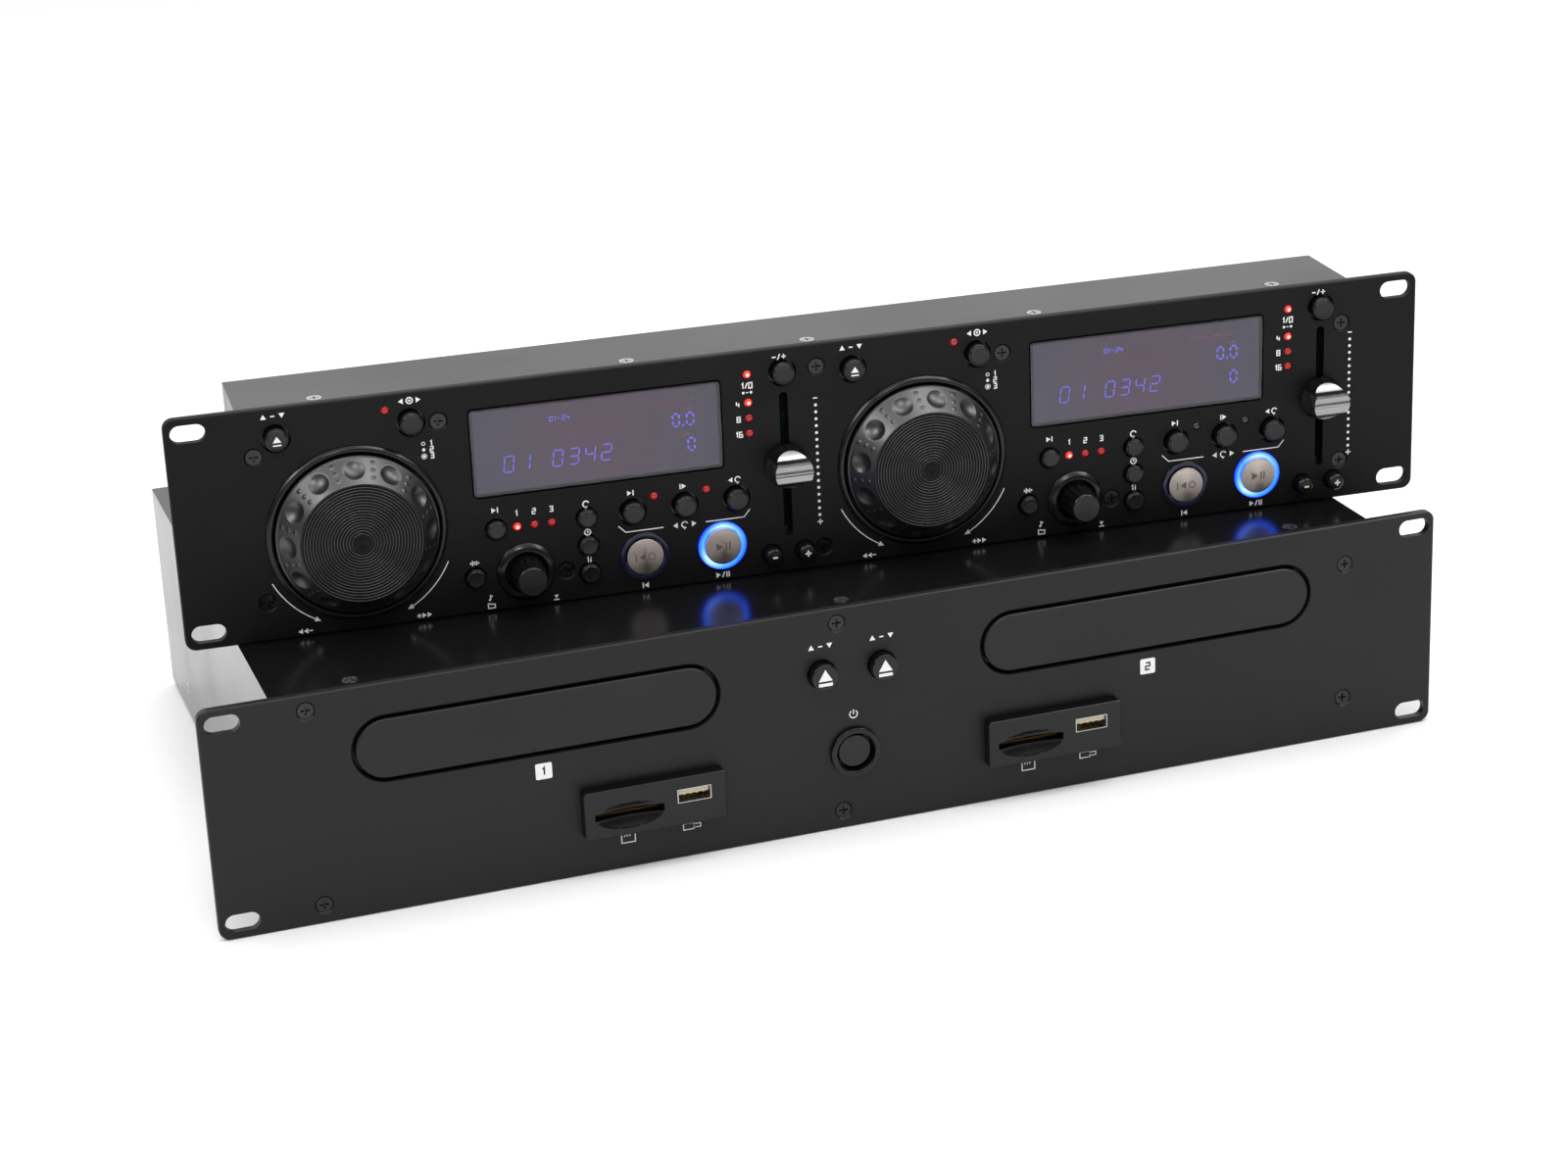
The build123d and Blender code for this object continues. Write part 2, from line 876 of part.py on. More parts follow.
def encoder_shaft(deck_x):
    """The shaft that the knob turns on. It slides in when the knob is pushed."""
    x = deck_x + knob_x
    tip = -knob_stands + knob_roof
    back = board_front - encoder_back - knob_push - stem_gap
    return [rod(x, lower_row, shaft_radius, (tip, back))]


def track_knob(deck_x):
    """A tapered, fluted knob, bored for its shaft."""
    body = turned(
        0,
        0,
        [
            (0, -knob_stands),
            (knob_face_radius - knob_edge, -knob_stands),
            (knob_face_radius, -knob_stands + knob_edge),
            (knob_base_radius, -knob_behind - knob_band),
            (knob_base_radius, -knob_behind - knob_push),
            (0, -knob_behind - knob_push),
        ],
    )
    bore = rod(0, 0, shaft_radius + running_fit, (-knob_stands + knob_roof - seam, 0))
    flutes = []
    for number in range(knob_flutes):
        angle = radians(number * 360 / knob_flutes)
        reach = (knob_base_radius + knob_face_radius) / 2 + flute_radius / 2
        span = (-knob_stands + flute_start, -knob_band)
        flutes.append(rod(reach * cos(angle), reach * sin(angle), flute_radius * 2, span))
    return [Pos(deck_x + knob_x, 0, lower_row) * (body - bore - flutes)]


def pitch_fader(deck_x):
    """A round cap, scooped above and below so that a grip bar is left, on a lever."""
    cap = turned(
        0,
        0,
        [
            (0, -cap_stands),
            (cap_face_radius, -cap_stands),
            (cap_base_radius, -cap_clear - cap_band),
            (cap_base_radius, -cap_clear),
            (0, -cap_clear),
        ],
    )
    reach = (scoop_radius**2 - scoop_lift**2) ** 0.5
    for side in (-1, 1):
        axis_z = side * (cap_bar / 2 + reach)
        scoop = (
            Pos(0, -cap_stands - scoop_lift, axis_z)
            * Rot(0, 90, 0)
            * Cylinder(scoop_radius, 3 * cap_base_radius)
        )
        cap -= scoop
    lever = slab(0, 0, lever_thick, lever_high, (-cap_clear - lever_root, board_front - lever_short))
    return [Pos(deck_x + fader_x, 0, slot_z) * (cap + lever)]


# ---------------------------------------------------------------- drive unit's static pieces
def drive_chassis():
    """Floor on pressed feet, rear wall, side walls inside the cover and a front frame."""
    half = case_width / 2 - sheet - seam
    roof = drive_top - sheet - seam
    back = drive_depth - sheet
    floor = block((-half, half), (panel_thick, drive_depth), (drive_floor, drive_floor + sheet))
    rear = block((-half, half), (back, drive_depth), (drive_floor, roof))
    front = block((-half, half), (panel_thick, panel_thick + sheet), (drive_floor, roof))
    front -= block(
        (-half + drive_stile, half - drive_stile),
        (panel_thick - past, panel_thick + 2 * sheet),
        (drive_floor + drive_rail, roof - drive_head_rail),
    )
    lip = block((-half, half), (panel_thick, lip_front + lip_deep), (roof - lip_thick, roof))
    chassis = floor + rear + front + lip
    for side in (-1, 1):
        wall = block(
            sorted((side * half, side * (half - sheet))),
            (panel_thick, drive_depth),
            (drive_floor, roof),
        )
        chassis += wall
    cuts = []
    foot_drop = drive_floor - surface
    feet_at = [(0, drive_depth / 2)]
    for x in (-half + foot_inset_x, half - foot_inset_x):
        for y in (foot_inset_y, drive_depth - foot_inset_y):
            feet_at.append((x, y))
    for x, y in feet_at:
        chassis += Pos(x, y, surface + foot_drop / 2) * Cone(
            foot_radius - foot_draft, foot_radius, foot_drop
        )
        cuts.append(
            Pos(x, y, surface + sheet + foot_drop / 2)
            * Cone(foot_radius - foot_draft - sheet, foot_radius - sheet, foot_drop)
        )
    for x, z in drive_screws_at:
        cuts.append(rod(x, z, screw_radius + running_fit, (0, screw_long + past)))
    cuts += cover_screw_holes(2 * sheet + lip_thick)
    wall = (back - past, drive_depth + past)
    for x in line_socket_x:
        for z in (line_socket_z, low_socket_z):
            cuts.append(rod(x, z, barrel_radius + seam, wall))
    for x in digital_socket_x:
        cuts.append(rod(x, low_socket_z, barrel_radius + seam, wall))
    for x in link_socket_x:
        cuts.append(rod(x, low_socket_z, link_radius + seam, wall))
    cuts.append(slab(inlet_x, inlet_z, inlet_wide + 2 * seam, inlet_high + 2 * seam, wall))
    return chassis - cuts


def cover_screw_holes(thick):
    """Countersunk holes of the cover's screws, through its top and sides."""
    holes = [down(x, top_screw_y, drive_top, screw_hole(0, 0, thick)) for x in drive_top_screws_x]
    for side in (-1, 1):
        for y in side_screw_y:
            holes.append(
                sideways(side * case_width / 2, y, side_screw_z, screw_hole(0, 0, thick), side)
            )
    return holes


def drive_cover():
    """A top and two sides, folded from one sheet."""
    half = case_width / 2
    outer = block((-half, half), (panel_thick, drive_depth), (drive_floor, drive_top))
    inner = block(
        (-half + sheet, half - sheet),
        (panel_thick - past, drive_depth + past),
        (drive_floor - past, drive_top - sheet),
    )
    return outer - inner - cover_screw_holes(sheet)


def drive_screws():
    pieces = [screw(x, z, panel_screw_sunk) for x, z in drive_screws_at]
    for x in drive_top_screws_x:
        pieces.append(down(x, top_screw_y, drive_top, screw(0, 0)))
    for side in (-1, 1):
        for y in side_screw_y:
            pieces.append(sideways(side * case_width / 2, y, side_screw_z, screw(0, 0), side))
    return pieces


def port_module(x):
    """A raised moulding with a dished card slot and a USB socket, and the two sockets' shells."""
    deep = (-port_stands, panel_thick + port_behind)
    through = (-port_stands - past, panel_thick + port_behind + past)
    body = rounded(x, port_z, port_wide, port_high, port_corner, deep)
    body += rounded(
        x,
        port_z,
        port_wide + 2 * port_flange,
        port_high + 2 * port_flange,
        port_corner,
        (panel_thick, panel_thick + ring_flange),
    )
    card_x = x + card_slot_x
    card_z = port_z + card_slot_z
    body -= slab(card_x, card_z, card_slot_wide, card_slot_high, through)
    dish = Pos(card_x, -port_stands - card_dish_radius + card_dish_deep, card_z) * Sphere(card_dish_radius)
    body -= dish & slab(
        card_x, card_z, card_slot_wide, 2 * card_dish_half, (-port_stands - past, 0)
    )
    hole_x = x + usb_x
    hole_z = port_z + usb_z
    body -= slab(hole_x, hole_z, usb_wide + 2 * seam, usb_high + 2 * seam, through)
    usb_front = -port_stands + usb_sunk
    usb_back = usb_front + usb_deep
    shell = slab(hole_x, hole_z, usb_wide, usb_high, (usb_front, usb_back))
    shell -= slab(
        hole_x,
        hole_z,
        usb_wide - 2 * usb_wall,
        usb_high - 2 * usb_wall,
        (usb_front - past, usb_back - usb_back_wall),
    )
    tongue = slab(
        hole_x,
        hole_z + usb_high / 4 - usb_wall / 2,
        usb_wide - 4 * usb_wall,
        usb_tongue_thick,
        (usb_front + usb_tongue_sunk, usb_back - usb_back_wall),
    )
    reader_front = panel_thick + port_behind
    reader = slab(
        card_x,
        card_z,
        card_slot_wide + 2 * reader_wall_x,
        card_slot_high + 2 * reader_wall_z,
        (reader_front, card_deep),
    )
    reader -= slab(
        card_x,
        card_z,
        card_mouth_wide,
        card_mouth_high,
        (reader_front - past, card_deep - reader_back),
    )
    return [body, shell, tongue, reader]


def front_bezels():
    """Both port mouldings and the collar of the power key."""
    collar = lined_ring(0, power_z, key_kinds["power"][0], collar_wall, collar_stands)
    return port_module(-port_x) + port_module(port_x) + [collar]


def loader_frame(side):
    """A loader's base, walls with rails, clamp bridge, spindle motor, laser sled and legs."""
    x = side * tray_x
    inner = tray_wide / 2 + tray_gap
    outer = inner + loader_wall
    low = loader_base_low
    top = low + loader_base
    back = loader_front + loader_long
    tray_top = tray_low + tray_thick
    base = block((x - outer, x + outer), (loader_front, back), (low, top))
    frame = base
    for hand in (-1, 1):
        wall_x = sorted((x + hand * inner, x + hand * outer))
        ledge_x = sorted((x + hand * (inner - ledge_wide), x + hand * outer))
        frame += block(wall_x, (loader_front, back), (low, tray_top + bridge_rise))
        frame += block(
            ledge_x,
            (loader_front, back),
            (tray_low - tray_gap - ledge_thick, tray_low - tray_gap),
        )
        frame += block(
            ledge_x,
            (loader_front, back),
            (tray_top + tray_gap, tray_top + tray_gap + ledge_thick),
        )
    frame += block(
        (x - outer, x + outer),
        (disc_centre_y - bridge_deep / 2, disc_centre_y + bridge_deep / 2),
        (tray_top + bridge_rise - bridge_thick, tray_top + bridge_rise),
    )
    puck = post(
        x,
        disc_centre_y,
        turntable_radius,
        (tray_top + puck_gap, tray_top + bridge_rise - bridge_thick),
    )
    motor = post(x, disc_centre_y, motor_radius, (top, top + motor_high))
    motor -= post(
        x,
        disc_centre_y,
        spindle_radius + running_fit,
        (top + motor_floor, top + motor_high + past),
    )
    pieces = [frame, puck, motor]
    guide_z = top + guide_rise
    guide_front = disc_centre_y + motor_radius + guide_gap
    guide_back = guide_front + guide_long
    sled_front = guide_front + sled_start
    sled = block(
        (x - guide_spread - sled_over, x + guide_spread + sled_over),
        (sled_front, sled_front + sled_long),
        (guide_z - sled_half_high, guide_z + sled_half_high),
    )
    for hand in (-1, 1):
        guide_x = x + hand * guide_spread
        guide = rod(guide_x, guide_z, guide_radius, (guide_front, guide_back))
        sled -= rod(guide_x, guide_z, guide_radius + running_fit, (guide_front, guide_back))
        pieces.append(guide)
        for end in (guide_front, guide_back):
            pieces[0] += block(
                (guide_x - guide_block_half, guide_x + guide_block_half),
                (end - guide_block_deep, end),
                (top, guide_z - guide_radius),
            )
    sled_top = guide_z + sled_half_high
    lens = post(x, sled_front + sled_long / 2, lens_radius, (sled_top, sled_top + lens_high))
    pieces += [sled, lens]
    for hand in (-1, 1):
        for y in loader_leg_y:
            pieces.append(
                post(x + hand * (outer - leg_inset), y, leg_radius, (drive_floor + sheet, low))
            )
    return pieces


def drive_boards():
    """Main board, power supply, and the upright board behind the keys in the middle."""
    floor = drive_floor + sheet
    board_z = (floor + board_stand, floor + board_stand + board_thick)
    main_back = drive_depth - board_rear_gap
    main_x = (main_board_left, main_board_left + main_board_wide)
    main_y = (main_back - main_board_deep, main_back)
    legs = []
    for hand in (-1, 1):
        leg_x = tray_x + hand * (tray_wide / 2 + tray_gap + loader_wall - leg_inset)
        for y in loader_leg_y:
            legs.append(post(leg_x, y, leg_radius + leg_hole_over, (floor, floor + 2 * board_stand)))
    pieces = []
    for span_x, span_y in ((supply_x, supply_y), (main_x, main_y)):
        pieces.append(block(span_x, span_y, board_z) - legs)
        for x in (span_x[0] + board_post_inset, span_x[1] - board_post_inset):
            for y in (span_y[0] + board_post_inset, span_y[1] - board_post_inset):
                pieces.append(post(x, y, post_radius, (floor, board_z[0])))
    above = board_z[1]
    pieces.append(block(transformer_x, transformer_y, (above, above + transformer_high)))
    for x, y in capacitors_at:
        pieces.append(post(x, y, capacitor_radius, (above, above + capacitor_high)))
    for x, y in chips_at:
        pieces.append(block((x, x + chip_side), (y, y + chip_side), (above, above + chip_high)))
    front_span = (front_board_y, front_board_y + board_thick)
    pieces.append(slab(0, 0, front_board_wide, front_board_high, front_span))
    for x, z in front_posts_at:
        pieces.append(rod(x, z, post_radius, (panel_thick, front_board_y)))
    for side in (-1, 1):
        pieces.append(switch(side * eject_x, tray_z, front_board_y))
    pieces.append(switch(0, power_z, front_board_y))
    return pieces


def rear_sockets():
    """Line, digital and link sockets and the mains inlet, on the rear wall."""
    inside = drive_depth - sheet
    places = [(x, z) for x in line_socket_x for z in (line_socket_z, low_socket_z)]
    places += [(x, low_socket_z) for x in digital_socket_x]
    pieces = []
    for x, z in places:
        body = slab(x, z, socket_body, socket_body, (inside - socket_deep, inside))
        barrel = rod(x, z, barrel_radius, (inside, drive_depth + barrel_long))
        bore = rod(x, z, barrel_bore, (inside - socket_bore_deep, drive_depth + barrel_long + past))
        pieces.append(body + barrel - bore)
    for x in link_socket_x:
        body = slab(x, low_socket_z, 2 * link_radius, 2 * link_radius, (inside - link_deep, inside))
        pieces.append(body + rod(x, low_socket_z, link_radius, (inside, drive_depth + link_stands)))
    body = slab(inlet_x, inlet_z, inlet_wide, inlet_high, (drive_depth - inlet_deep, drive_depth))
    body += rounded(
        inlet_x,
        inlet_z,
        inlet_flange_wide,
        inlet_flange_high,
        inlet_flange_corner,
        (drive_depth, drive_depth + inlet_flange),
    )
    body -= slab(
        inlet_x,
        inlet_z,
        inlet_wide - 2 * inlet_wall,
        inlet_high - 2 * inlet_wall,
        (drive_depth - inlet_deep + inlet_back, drive_depth + inlet_flange + past),
    )
    pieces.append(body)
    pin_span = (drive_depth - inlet_deep + inlet_back, drive_depth - pin_sunk)
    for x, z in inlet_pins_at:
        pieces.append(slab(inlet_x + x, inlet_z + z, pin_wide, pin_high, pin_span))
    return pieces


# ---------------------------------------------------------------- drive unit's moving pieces
def disc_tray(side):
    """The tray with its two disc wells and spindle window, and the rounded door on its front."""
    x = side * tray_x
    tray_top = tray_low + tray_thick
    tray = block(
        (x - tray_wide / 2, x + tray_wide / 2),
        (panel_thick, panel_thick + tray_long),
        (tray_low, tray_top),
    )
    tray -= post(x, disc_centre_y, disc_well_radius, (tray_top - disc_well_deep, tray_top + past))
    tray -= post(
        x,
        disc_centre_y,
        small_disc_radius,
        (tray_top - disc_well_deep - small_disc_deep, tray_top),
    )
    window_back = disc_centre_y + small_disc_radius + window_over
    tray -= post(x, disc_centre_y, spindle_window / 2, (tray_low - past, tray_top))
    tray -= block(
        (x - spindle_window / 2, x + spindle_window / 2),
        (disc_centre_y, window_back),
        (tray_low - past, tray_top),
    )
    wide = tray_slot_wide - 2 * door_gap
    high = tray_slot_high - 2 * door_gap
    door = Pos(x, -door_stands, tray_z) * Rot(-90, 0, 0) * extrude(
        SlotOverall(wide, high), panel_thick + door_stands
    )
    door = chamfer(door.edges().group_by(Axis.Y)[0], door_edge)
    return [tray, door]


def turntable(side):
    """The disc's seat on the spindle, just under the tray."""
    x = side * tray_x
    top = tray_low - tray_gap
    hub = post(x, disc_centre_y, turntable_hub_radius, (top - turntable_hub_high, top))
    seat = post(
        x,
        disc_centre_y,
        turntable_radius,
        (top - turntable_hub_high - turntable_thick, top - turntable_hub_high),
    )
    motor_low = loader_base_low + loader_base
    spindle_low = motor_low + motor_floor + spindle_end_gap
    spindle = post(x, disc_centre_y, spindle_radius, (spindle_low, top - turntable_hub_high))
    return [hub + seat + spindle]


# ---------------------------------------------------------------- every node
def main():
    os.makedirs("parts", exist_ok=True)
    save("control_faceplate", [control_faceplate()], control_place)
    save("control_housing", [control_housing()], control_place)
    save("control_board", control_board(), control_place)
    save("indicator_leds", indicator_leds(), control_place)
    save("display_windows", display_windows(), control_place)
    save("trim_rings", trim_rings(), control_place)
    save("control_screws", control_screws(), control_place)
    for number, deck_x in enumerate(jog_x, start=1):
        for name, (x, z, kind) in key_places.items():
            save(f"{name}_{number}", [key(deck_x + x, z, kind, board_front)], control_place)
        save(f"jog_wheel_{number}", jog_wheel(deck_x, dimple_phase[number - 1]), control_place)
        save(f"encoder_shaft_{number}", encoder_shaft(deck_x), control_place)
        save(f"track_knob_{number}", track_knob(deck_x), control_place)
        save(f"pitch_fader_{number}", pitch_fader(deck_x), control_place)
    save("drive_faceplate", [drive_faceplate()], drive_place)
    save("drive_chassis", [drive_chassis()], drive_place)
    save("drive_cover", [drive_cover()], drive_place)
    save("drive_screws", drive_screws(), drive_place)
    save("front_bezels", front_bezels(), drive_place)
    save("rear_sockets", rear_sockets(), drive_place)
    save("loader_frames", loader_frame(-1) + loader_frame(1), drive_place)
    save("drive_boards", drive_boards(), drive_place)
    save("power_button", [key(0, power_z, "power", front_board_y)], drive_place)
    for number, side in enumerate((-1, 1), start=1):
        eject = key(side * eject_x, tray_z, "tray", front_board_y)
        save(f"drive_eject_button_{number}", [eject], drive_place)
        save(f"disc_tray_{number}", disc_tray(side), drive_place)
        save(f"turntable_{number}", turntable(side), drive_place)


main()
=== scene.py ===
import json
from math import atan2, cos, pi, radians, sin

import bmesh
import bpy
from mathutils import Matrix, Vector


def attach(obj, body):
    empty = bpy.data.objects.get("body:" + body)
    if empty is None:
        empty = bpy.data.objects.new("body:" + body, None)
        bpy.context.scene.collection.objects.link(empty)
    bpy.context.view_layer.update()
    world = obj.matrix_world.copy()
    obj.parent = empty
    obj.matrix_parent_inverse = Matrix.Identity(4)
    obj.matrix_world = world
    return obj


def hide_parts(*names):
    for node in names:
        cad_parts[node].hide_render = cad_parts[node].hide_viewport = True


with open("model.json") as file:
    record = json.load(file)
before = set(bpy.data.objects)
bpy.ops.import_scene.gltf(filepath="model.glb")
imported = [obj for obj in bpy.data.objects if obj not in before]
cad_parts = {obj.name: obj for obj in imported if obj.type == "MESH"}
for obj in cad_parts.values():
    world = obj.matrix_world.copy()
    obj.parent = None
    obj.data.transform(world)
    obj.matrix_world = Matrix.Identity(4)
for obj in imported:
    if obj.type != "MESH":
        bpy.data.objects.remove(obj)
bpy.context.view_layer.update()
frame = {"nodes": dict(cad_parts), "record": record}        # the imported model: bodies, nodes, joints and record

# ---------------------------------------------------------------- drive unit's chassis
# A tray of 1 mm steel: floor on four pressed feet, rear wall, side walls and front frame. It is
# stoved with the same black enamel as the cover, and every piece of the drive unit is screwed to it.
mount_of = {mount["name"]: mount for mount in frame["record"]["mounts"]}


def unit_place(mount):
    """From millimetres off the middle of a unit's panel (X right, Y back, Z up) to the row's metres."""
    face = Vector(mount_of[mount]["axis"])
    turn = Matrix.Rotation(atan2(face.x, -face.y), 4, "Z")
    return Matrix.Translation(mount_of[mount]["pos_m"]) @ turn @ Matrix.Scale(0.001, 4)


drive = unit_place("drive_rack_slots")
control = unit_place("control_rack_slots")


def linear(code):
    """An sRGB hex colour in Blender's linear values."""
    parts = [int(code[i:i + 2], 16) / 255 for i in (1, 3, 5)]
    return [p / 12.92 if p <= 0.04045 else ((p + 0.055) / 1.055) ** 2.4 for p in parts] + [1.0]


def add(tree, kind, settings=None, links=None):
    """Adds a shader node with its settings, and joins its inputs to other nodes' outputs."""
    node = tree.nodes.new("ShaderNode" + kind)
    for key, value in (settings or {}).items():
        if isinstance(key, str) and hasattr(node, key):
            setattr(node, key, value)
        else:
            node.inputs[key].default_value = value
    for key, socket in (links or {}).items():
        tree.links.new(socket, node.inputs[key])
    return node


def finish(name, **settings):
    """A material named for its real finish, with its node tree and its shader."""
    material = bpy.data.materials.new(name)
    material.use_nodes = True
    tree = material.node_tree
    shader = tree.nodes["Principled BSDF"]
    for key, value in settings.items():
        shader.inputs[key.replace("_", " ")].default_value = value
    return material, tree, shader


def per_mm(size):
    """The texture scale whose features are this many millimetres wide."""
    return 1000 / size


def mottle(tree, shader, low, high, size):
    """Roughness that wanders between two values over patches of this size, as handled paint does."""
    place = add(tree, "TexCoord")
    patches = add(tree, "TexNoise", {"Scale": per_mm(size), "Detail": 4.0},
                  {"Vector": place.outputs["Object"]})
    spread = add(tree, "MapRange", {"From Min": 0.3, "From Max": 0.7, "To Min": low, "To Max": high},
                 {"Value": patches.outputs["Fac"]})
    tree.links.new(spread.outputs["Result"], shader.inputs["Roughness"])
    return place


def grain(tree, shader, place, size, deep, detail=2.0):
    """A fine relief, with features of this size and depth in millimetres."""
    noise = add(tree, "TexNoise", {"Scale": per_mm(size), "Detail": detail},
                {"Vector": place.outputs["Object"]})
    bump = add(tree, "Bump", {"Distance": deep / 1000, "Strength": 1.0}, {"Height": noise.outputs["Fac"]})
    tree.links.new(bump.outputs["Normal"], shader.inputs["Normal"])
    return noise


def skin(name, code, rough, relief=None, **settings):
    """An even colour. Its roughness wanders (low, high, patch size), over a relief (size, depth)."""
    material, tree, shader = finish(name, Base_Color=linear(code), **settings)
    place = mottle(tree, shader, *rough)
    if relief:
        grain(tree, shader, place, *relief)
    return material


def tinted(name, rough, relief, dark, light, **settings):
    """The same, with the colour going from dark to light up the relief."""
    material, tree, shader = finish(name, **settings)
    height = grain(tree, shader, mottle(tree, shader, *rough), *relief)
    tint = add(tree, "ValToRGB", {}, {"Fac": height.outputs["Fac"]})
    for stop, code in zip(tint.color_ramp.elements, (dark, light)):
        stop.color = linear(code)
    tree.links.new(tint.outputs["Color"], shader.inputs["Base Color"])
    return material


def coat(node, material):
    """Gives a carried-over solid its finish."""
    mesh = frame["nodes"][node].data
    mesh.materials.clear()
    mesh.materials.append(material)


# Stoving enamel flows out before it sets: a dark, wet-looking skin with a faint orange peel.
enamel = skin("black stoving enamel", "#0d0d0e", (0.15, 0.25, 60), (1.6, 0.004), IOR=1.5)
coat("drive_chassis", enamel)
coat("drive_cover", enamel)

# ---------------------------------------------------------------- drive unit's boards
# Glass-fibre boards on brass posts, with a green solder mask over etched copper, and the
# transformer, capacitors and chips soldered to them.
solder_mask, tree, shader = finish("green solder mask", Roughness=0.3, IOR=1.5)
place = add(tree, "TexCoord")
tracks = add(tree, "TexBrick", {"Scale": per_mm(9), "Mortar Size": 0.06, "Mortar Smooth": 0.4,
                                "Color1": linear("#123d22"), "Color2": linear("#0e331c"),
                                "Mortar": linear("#2b6a3a")}, {"Vector": place.outputs["Object"]})
tree.links.new(tracks.outputs["Color"], shader.inputs["Base Color"])
grain(tree, shader, place, 2.0, 0.02)
coat("drive_boards", solder_mask)
coat("control_board", solder_mask)

# ---------------------------------------------------------------- tray loaders
# Each loader is moulded in dark grey ABS with steel guide rods for the laser sled. The turntable
# is acetal, pressed on the motor's spindle.
moulded_abs = skin("moulded ABS, dark grey", "#26272a", (0.45, 0.6, 12), (0.3, 0.008), IOR=1.53)
coat("loader_frames", moulded_abs)

acetal = skin("turned acetal, grey", "#8d8f92", (0.3, 0.42, 5), (0.2, 0.003), IOR=1.48)
coat("turntable_1", acetal)
coat("turntable_2", acetal)

# ---------------------------------------------------------------- disc trays
# A tray is one black ABS moulding with a well for 12 cm discs and one for 8 cm discs. Its door is
# clipped to its front, and is spark-eroded to a fine matt that is darker than the panel.
tray_abs = tinted("spark-eroded ABS, black", (0.42, 0.52, 45), (0.28, 0.012, 3.0), "#0f0f10", "#1a1a1b",
                  IOR=1.53, Specular_IOR_Level=0.3)
coat("disc_tray_1", tray_abs)
coat("disc_tray_2", tray_abs)

# ---------------------------------------------------------------- front panels
# Both panels are 3 mm steel plate with rounded corners and rack slots, powder-coated black.
# Powder melts to a satin skin with a pebbled grain, about 0.4 mm across, that breaks up highlights.
powder_coat = tinted("powder coat, satin black", (0.36, 0.46, 55), (0.42, 0.01, 3.0), "#101011", "#1c1c1e",
                     IOR=1.5, Specular_IOR_Level=0.26)
coat("drive_faceplate", powder_coat)

# The control panel has the same powder coat, a little rougher, with a darker colour and a weaker reflection that
# are painted shade.
darkened_powder_coat = tinted("powder coat, deep black", (0.44, 0.56, 50), (0.42, 0.01, 3.0), "#0a0a0b", "#151516",
                   IOR=1.5, Specular_IOR_Level=0.15)
coat("control_faceplate", darkened_powder_coat)

# ---------------------------------------------------------------- printed marks
# White two-part ink, screen-printed a few hundredths of a millimetre thick: numerals, signs and
# plain symbols beside the keys. Ink is opaque and a little chalky.
print_high = 0.04


def corner_offset(before, here, after, half):
    """The two points beside a line's corner, half its width away."""
    pairs = [(a, b) for a, b in ((before, here), (here, after)) if a is not None and b is not None]
    ahead = [(Vector(b) - Vector(a)).normalized() for a, b in pairs]
    out = sum((Vector((-d.y, d.x)) for d in ahead), Vector((0, 0))).normalized()
    reach = half / max(out.dot(Vector((-ahead[0].y, ahead[0].x))), 0.4)
    return Vector(here) + out * reach, Vector(here) - out * reach


def stroke(bm, points, wide, out, closed=False):
    """A flat line of even width on a unit's front, through points (x, z)."""
    count = len(points)
    pairs = []
    for i, here in enumerate(points):
        before = points[i - 1] if closed or i else None
        after = points[(i + 1) % count] if closed or i < count - 1 else None
        left, right = corner_offset(before, here, after, wide / 2)
        pairs.append([bm.verts.new((p.x, -out, p.y)) for p in (left, right)])
    for i in range(count if closed else count - 1):
        a, b = pairs[i], pairs[(i + 1) % count]
        bm.faces.new((a[0], a[1], b[1], b[0]))


def patch(bm, points, out):
    """A flat filled shape on a unit's front."""
    bm.faces.new([bm.verts.new((x, -out, z)) for x, z in points])


def arc(x, z, radius, start=0, turn=360, steps=24):
    """Points along an arc. A full turn leaves out the last, which is the first again."""
    last = steps if turn < 360 else steps - 1
    return [(x + radius * cos(radians(start + turn * i / steps)),
             z + radius * sin(radians(start + turn * i / steps))) for i in range(last + 1)]


def arrow_head(tip, along, long, wide):
    """A filled triangle whose tip points along a direction."""
    ahead = Vector(along).normalized()
    side = Vector((-ahead.y, ahead.x)) * wide / 2
    back = Vector(tip) - ahead * long
    return [tuple(tip), tuple(back + side), tuple(back - side)]


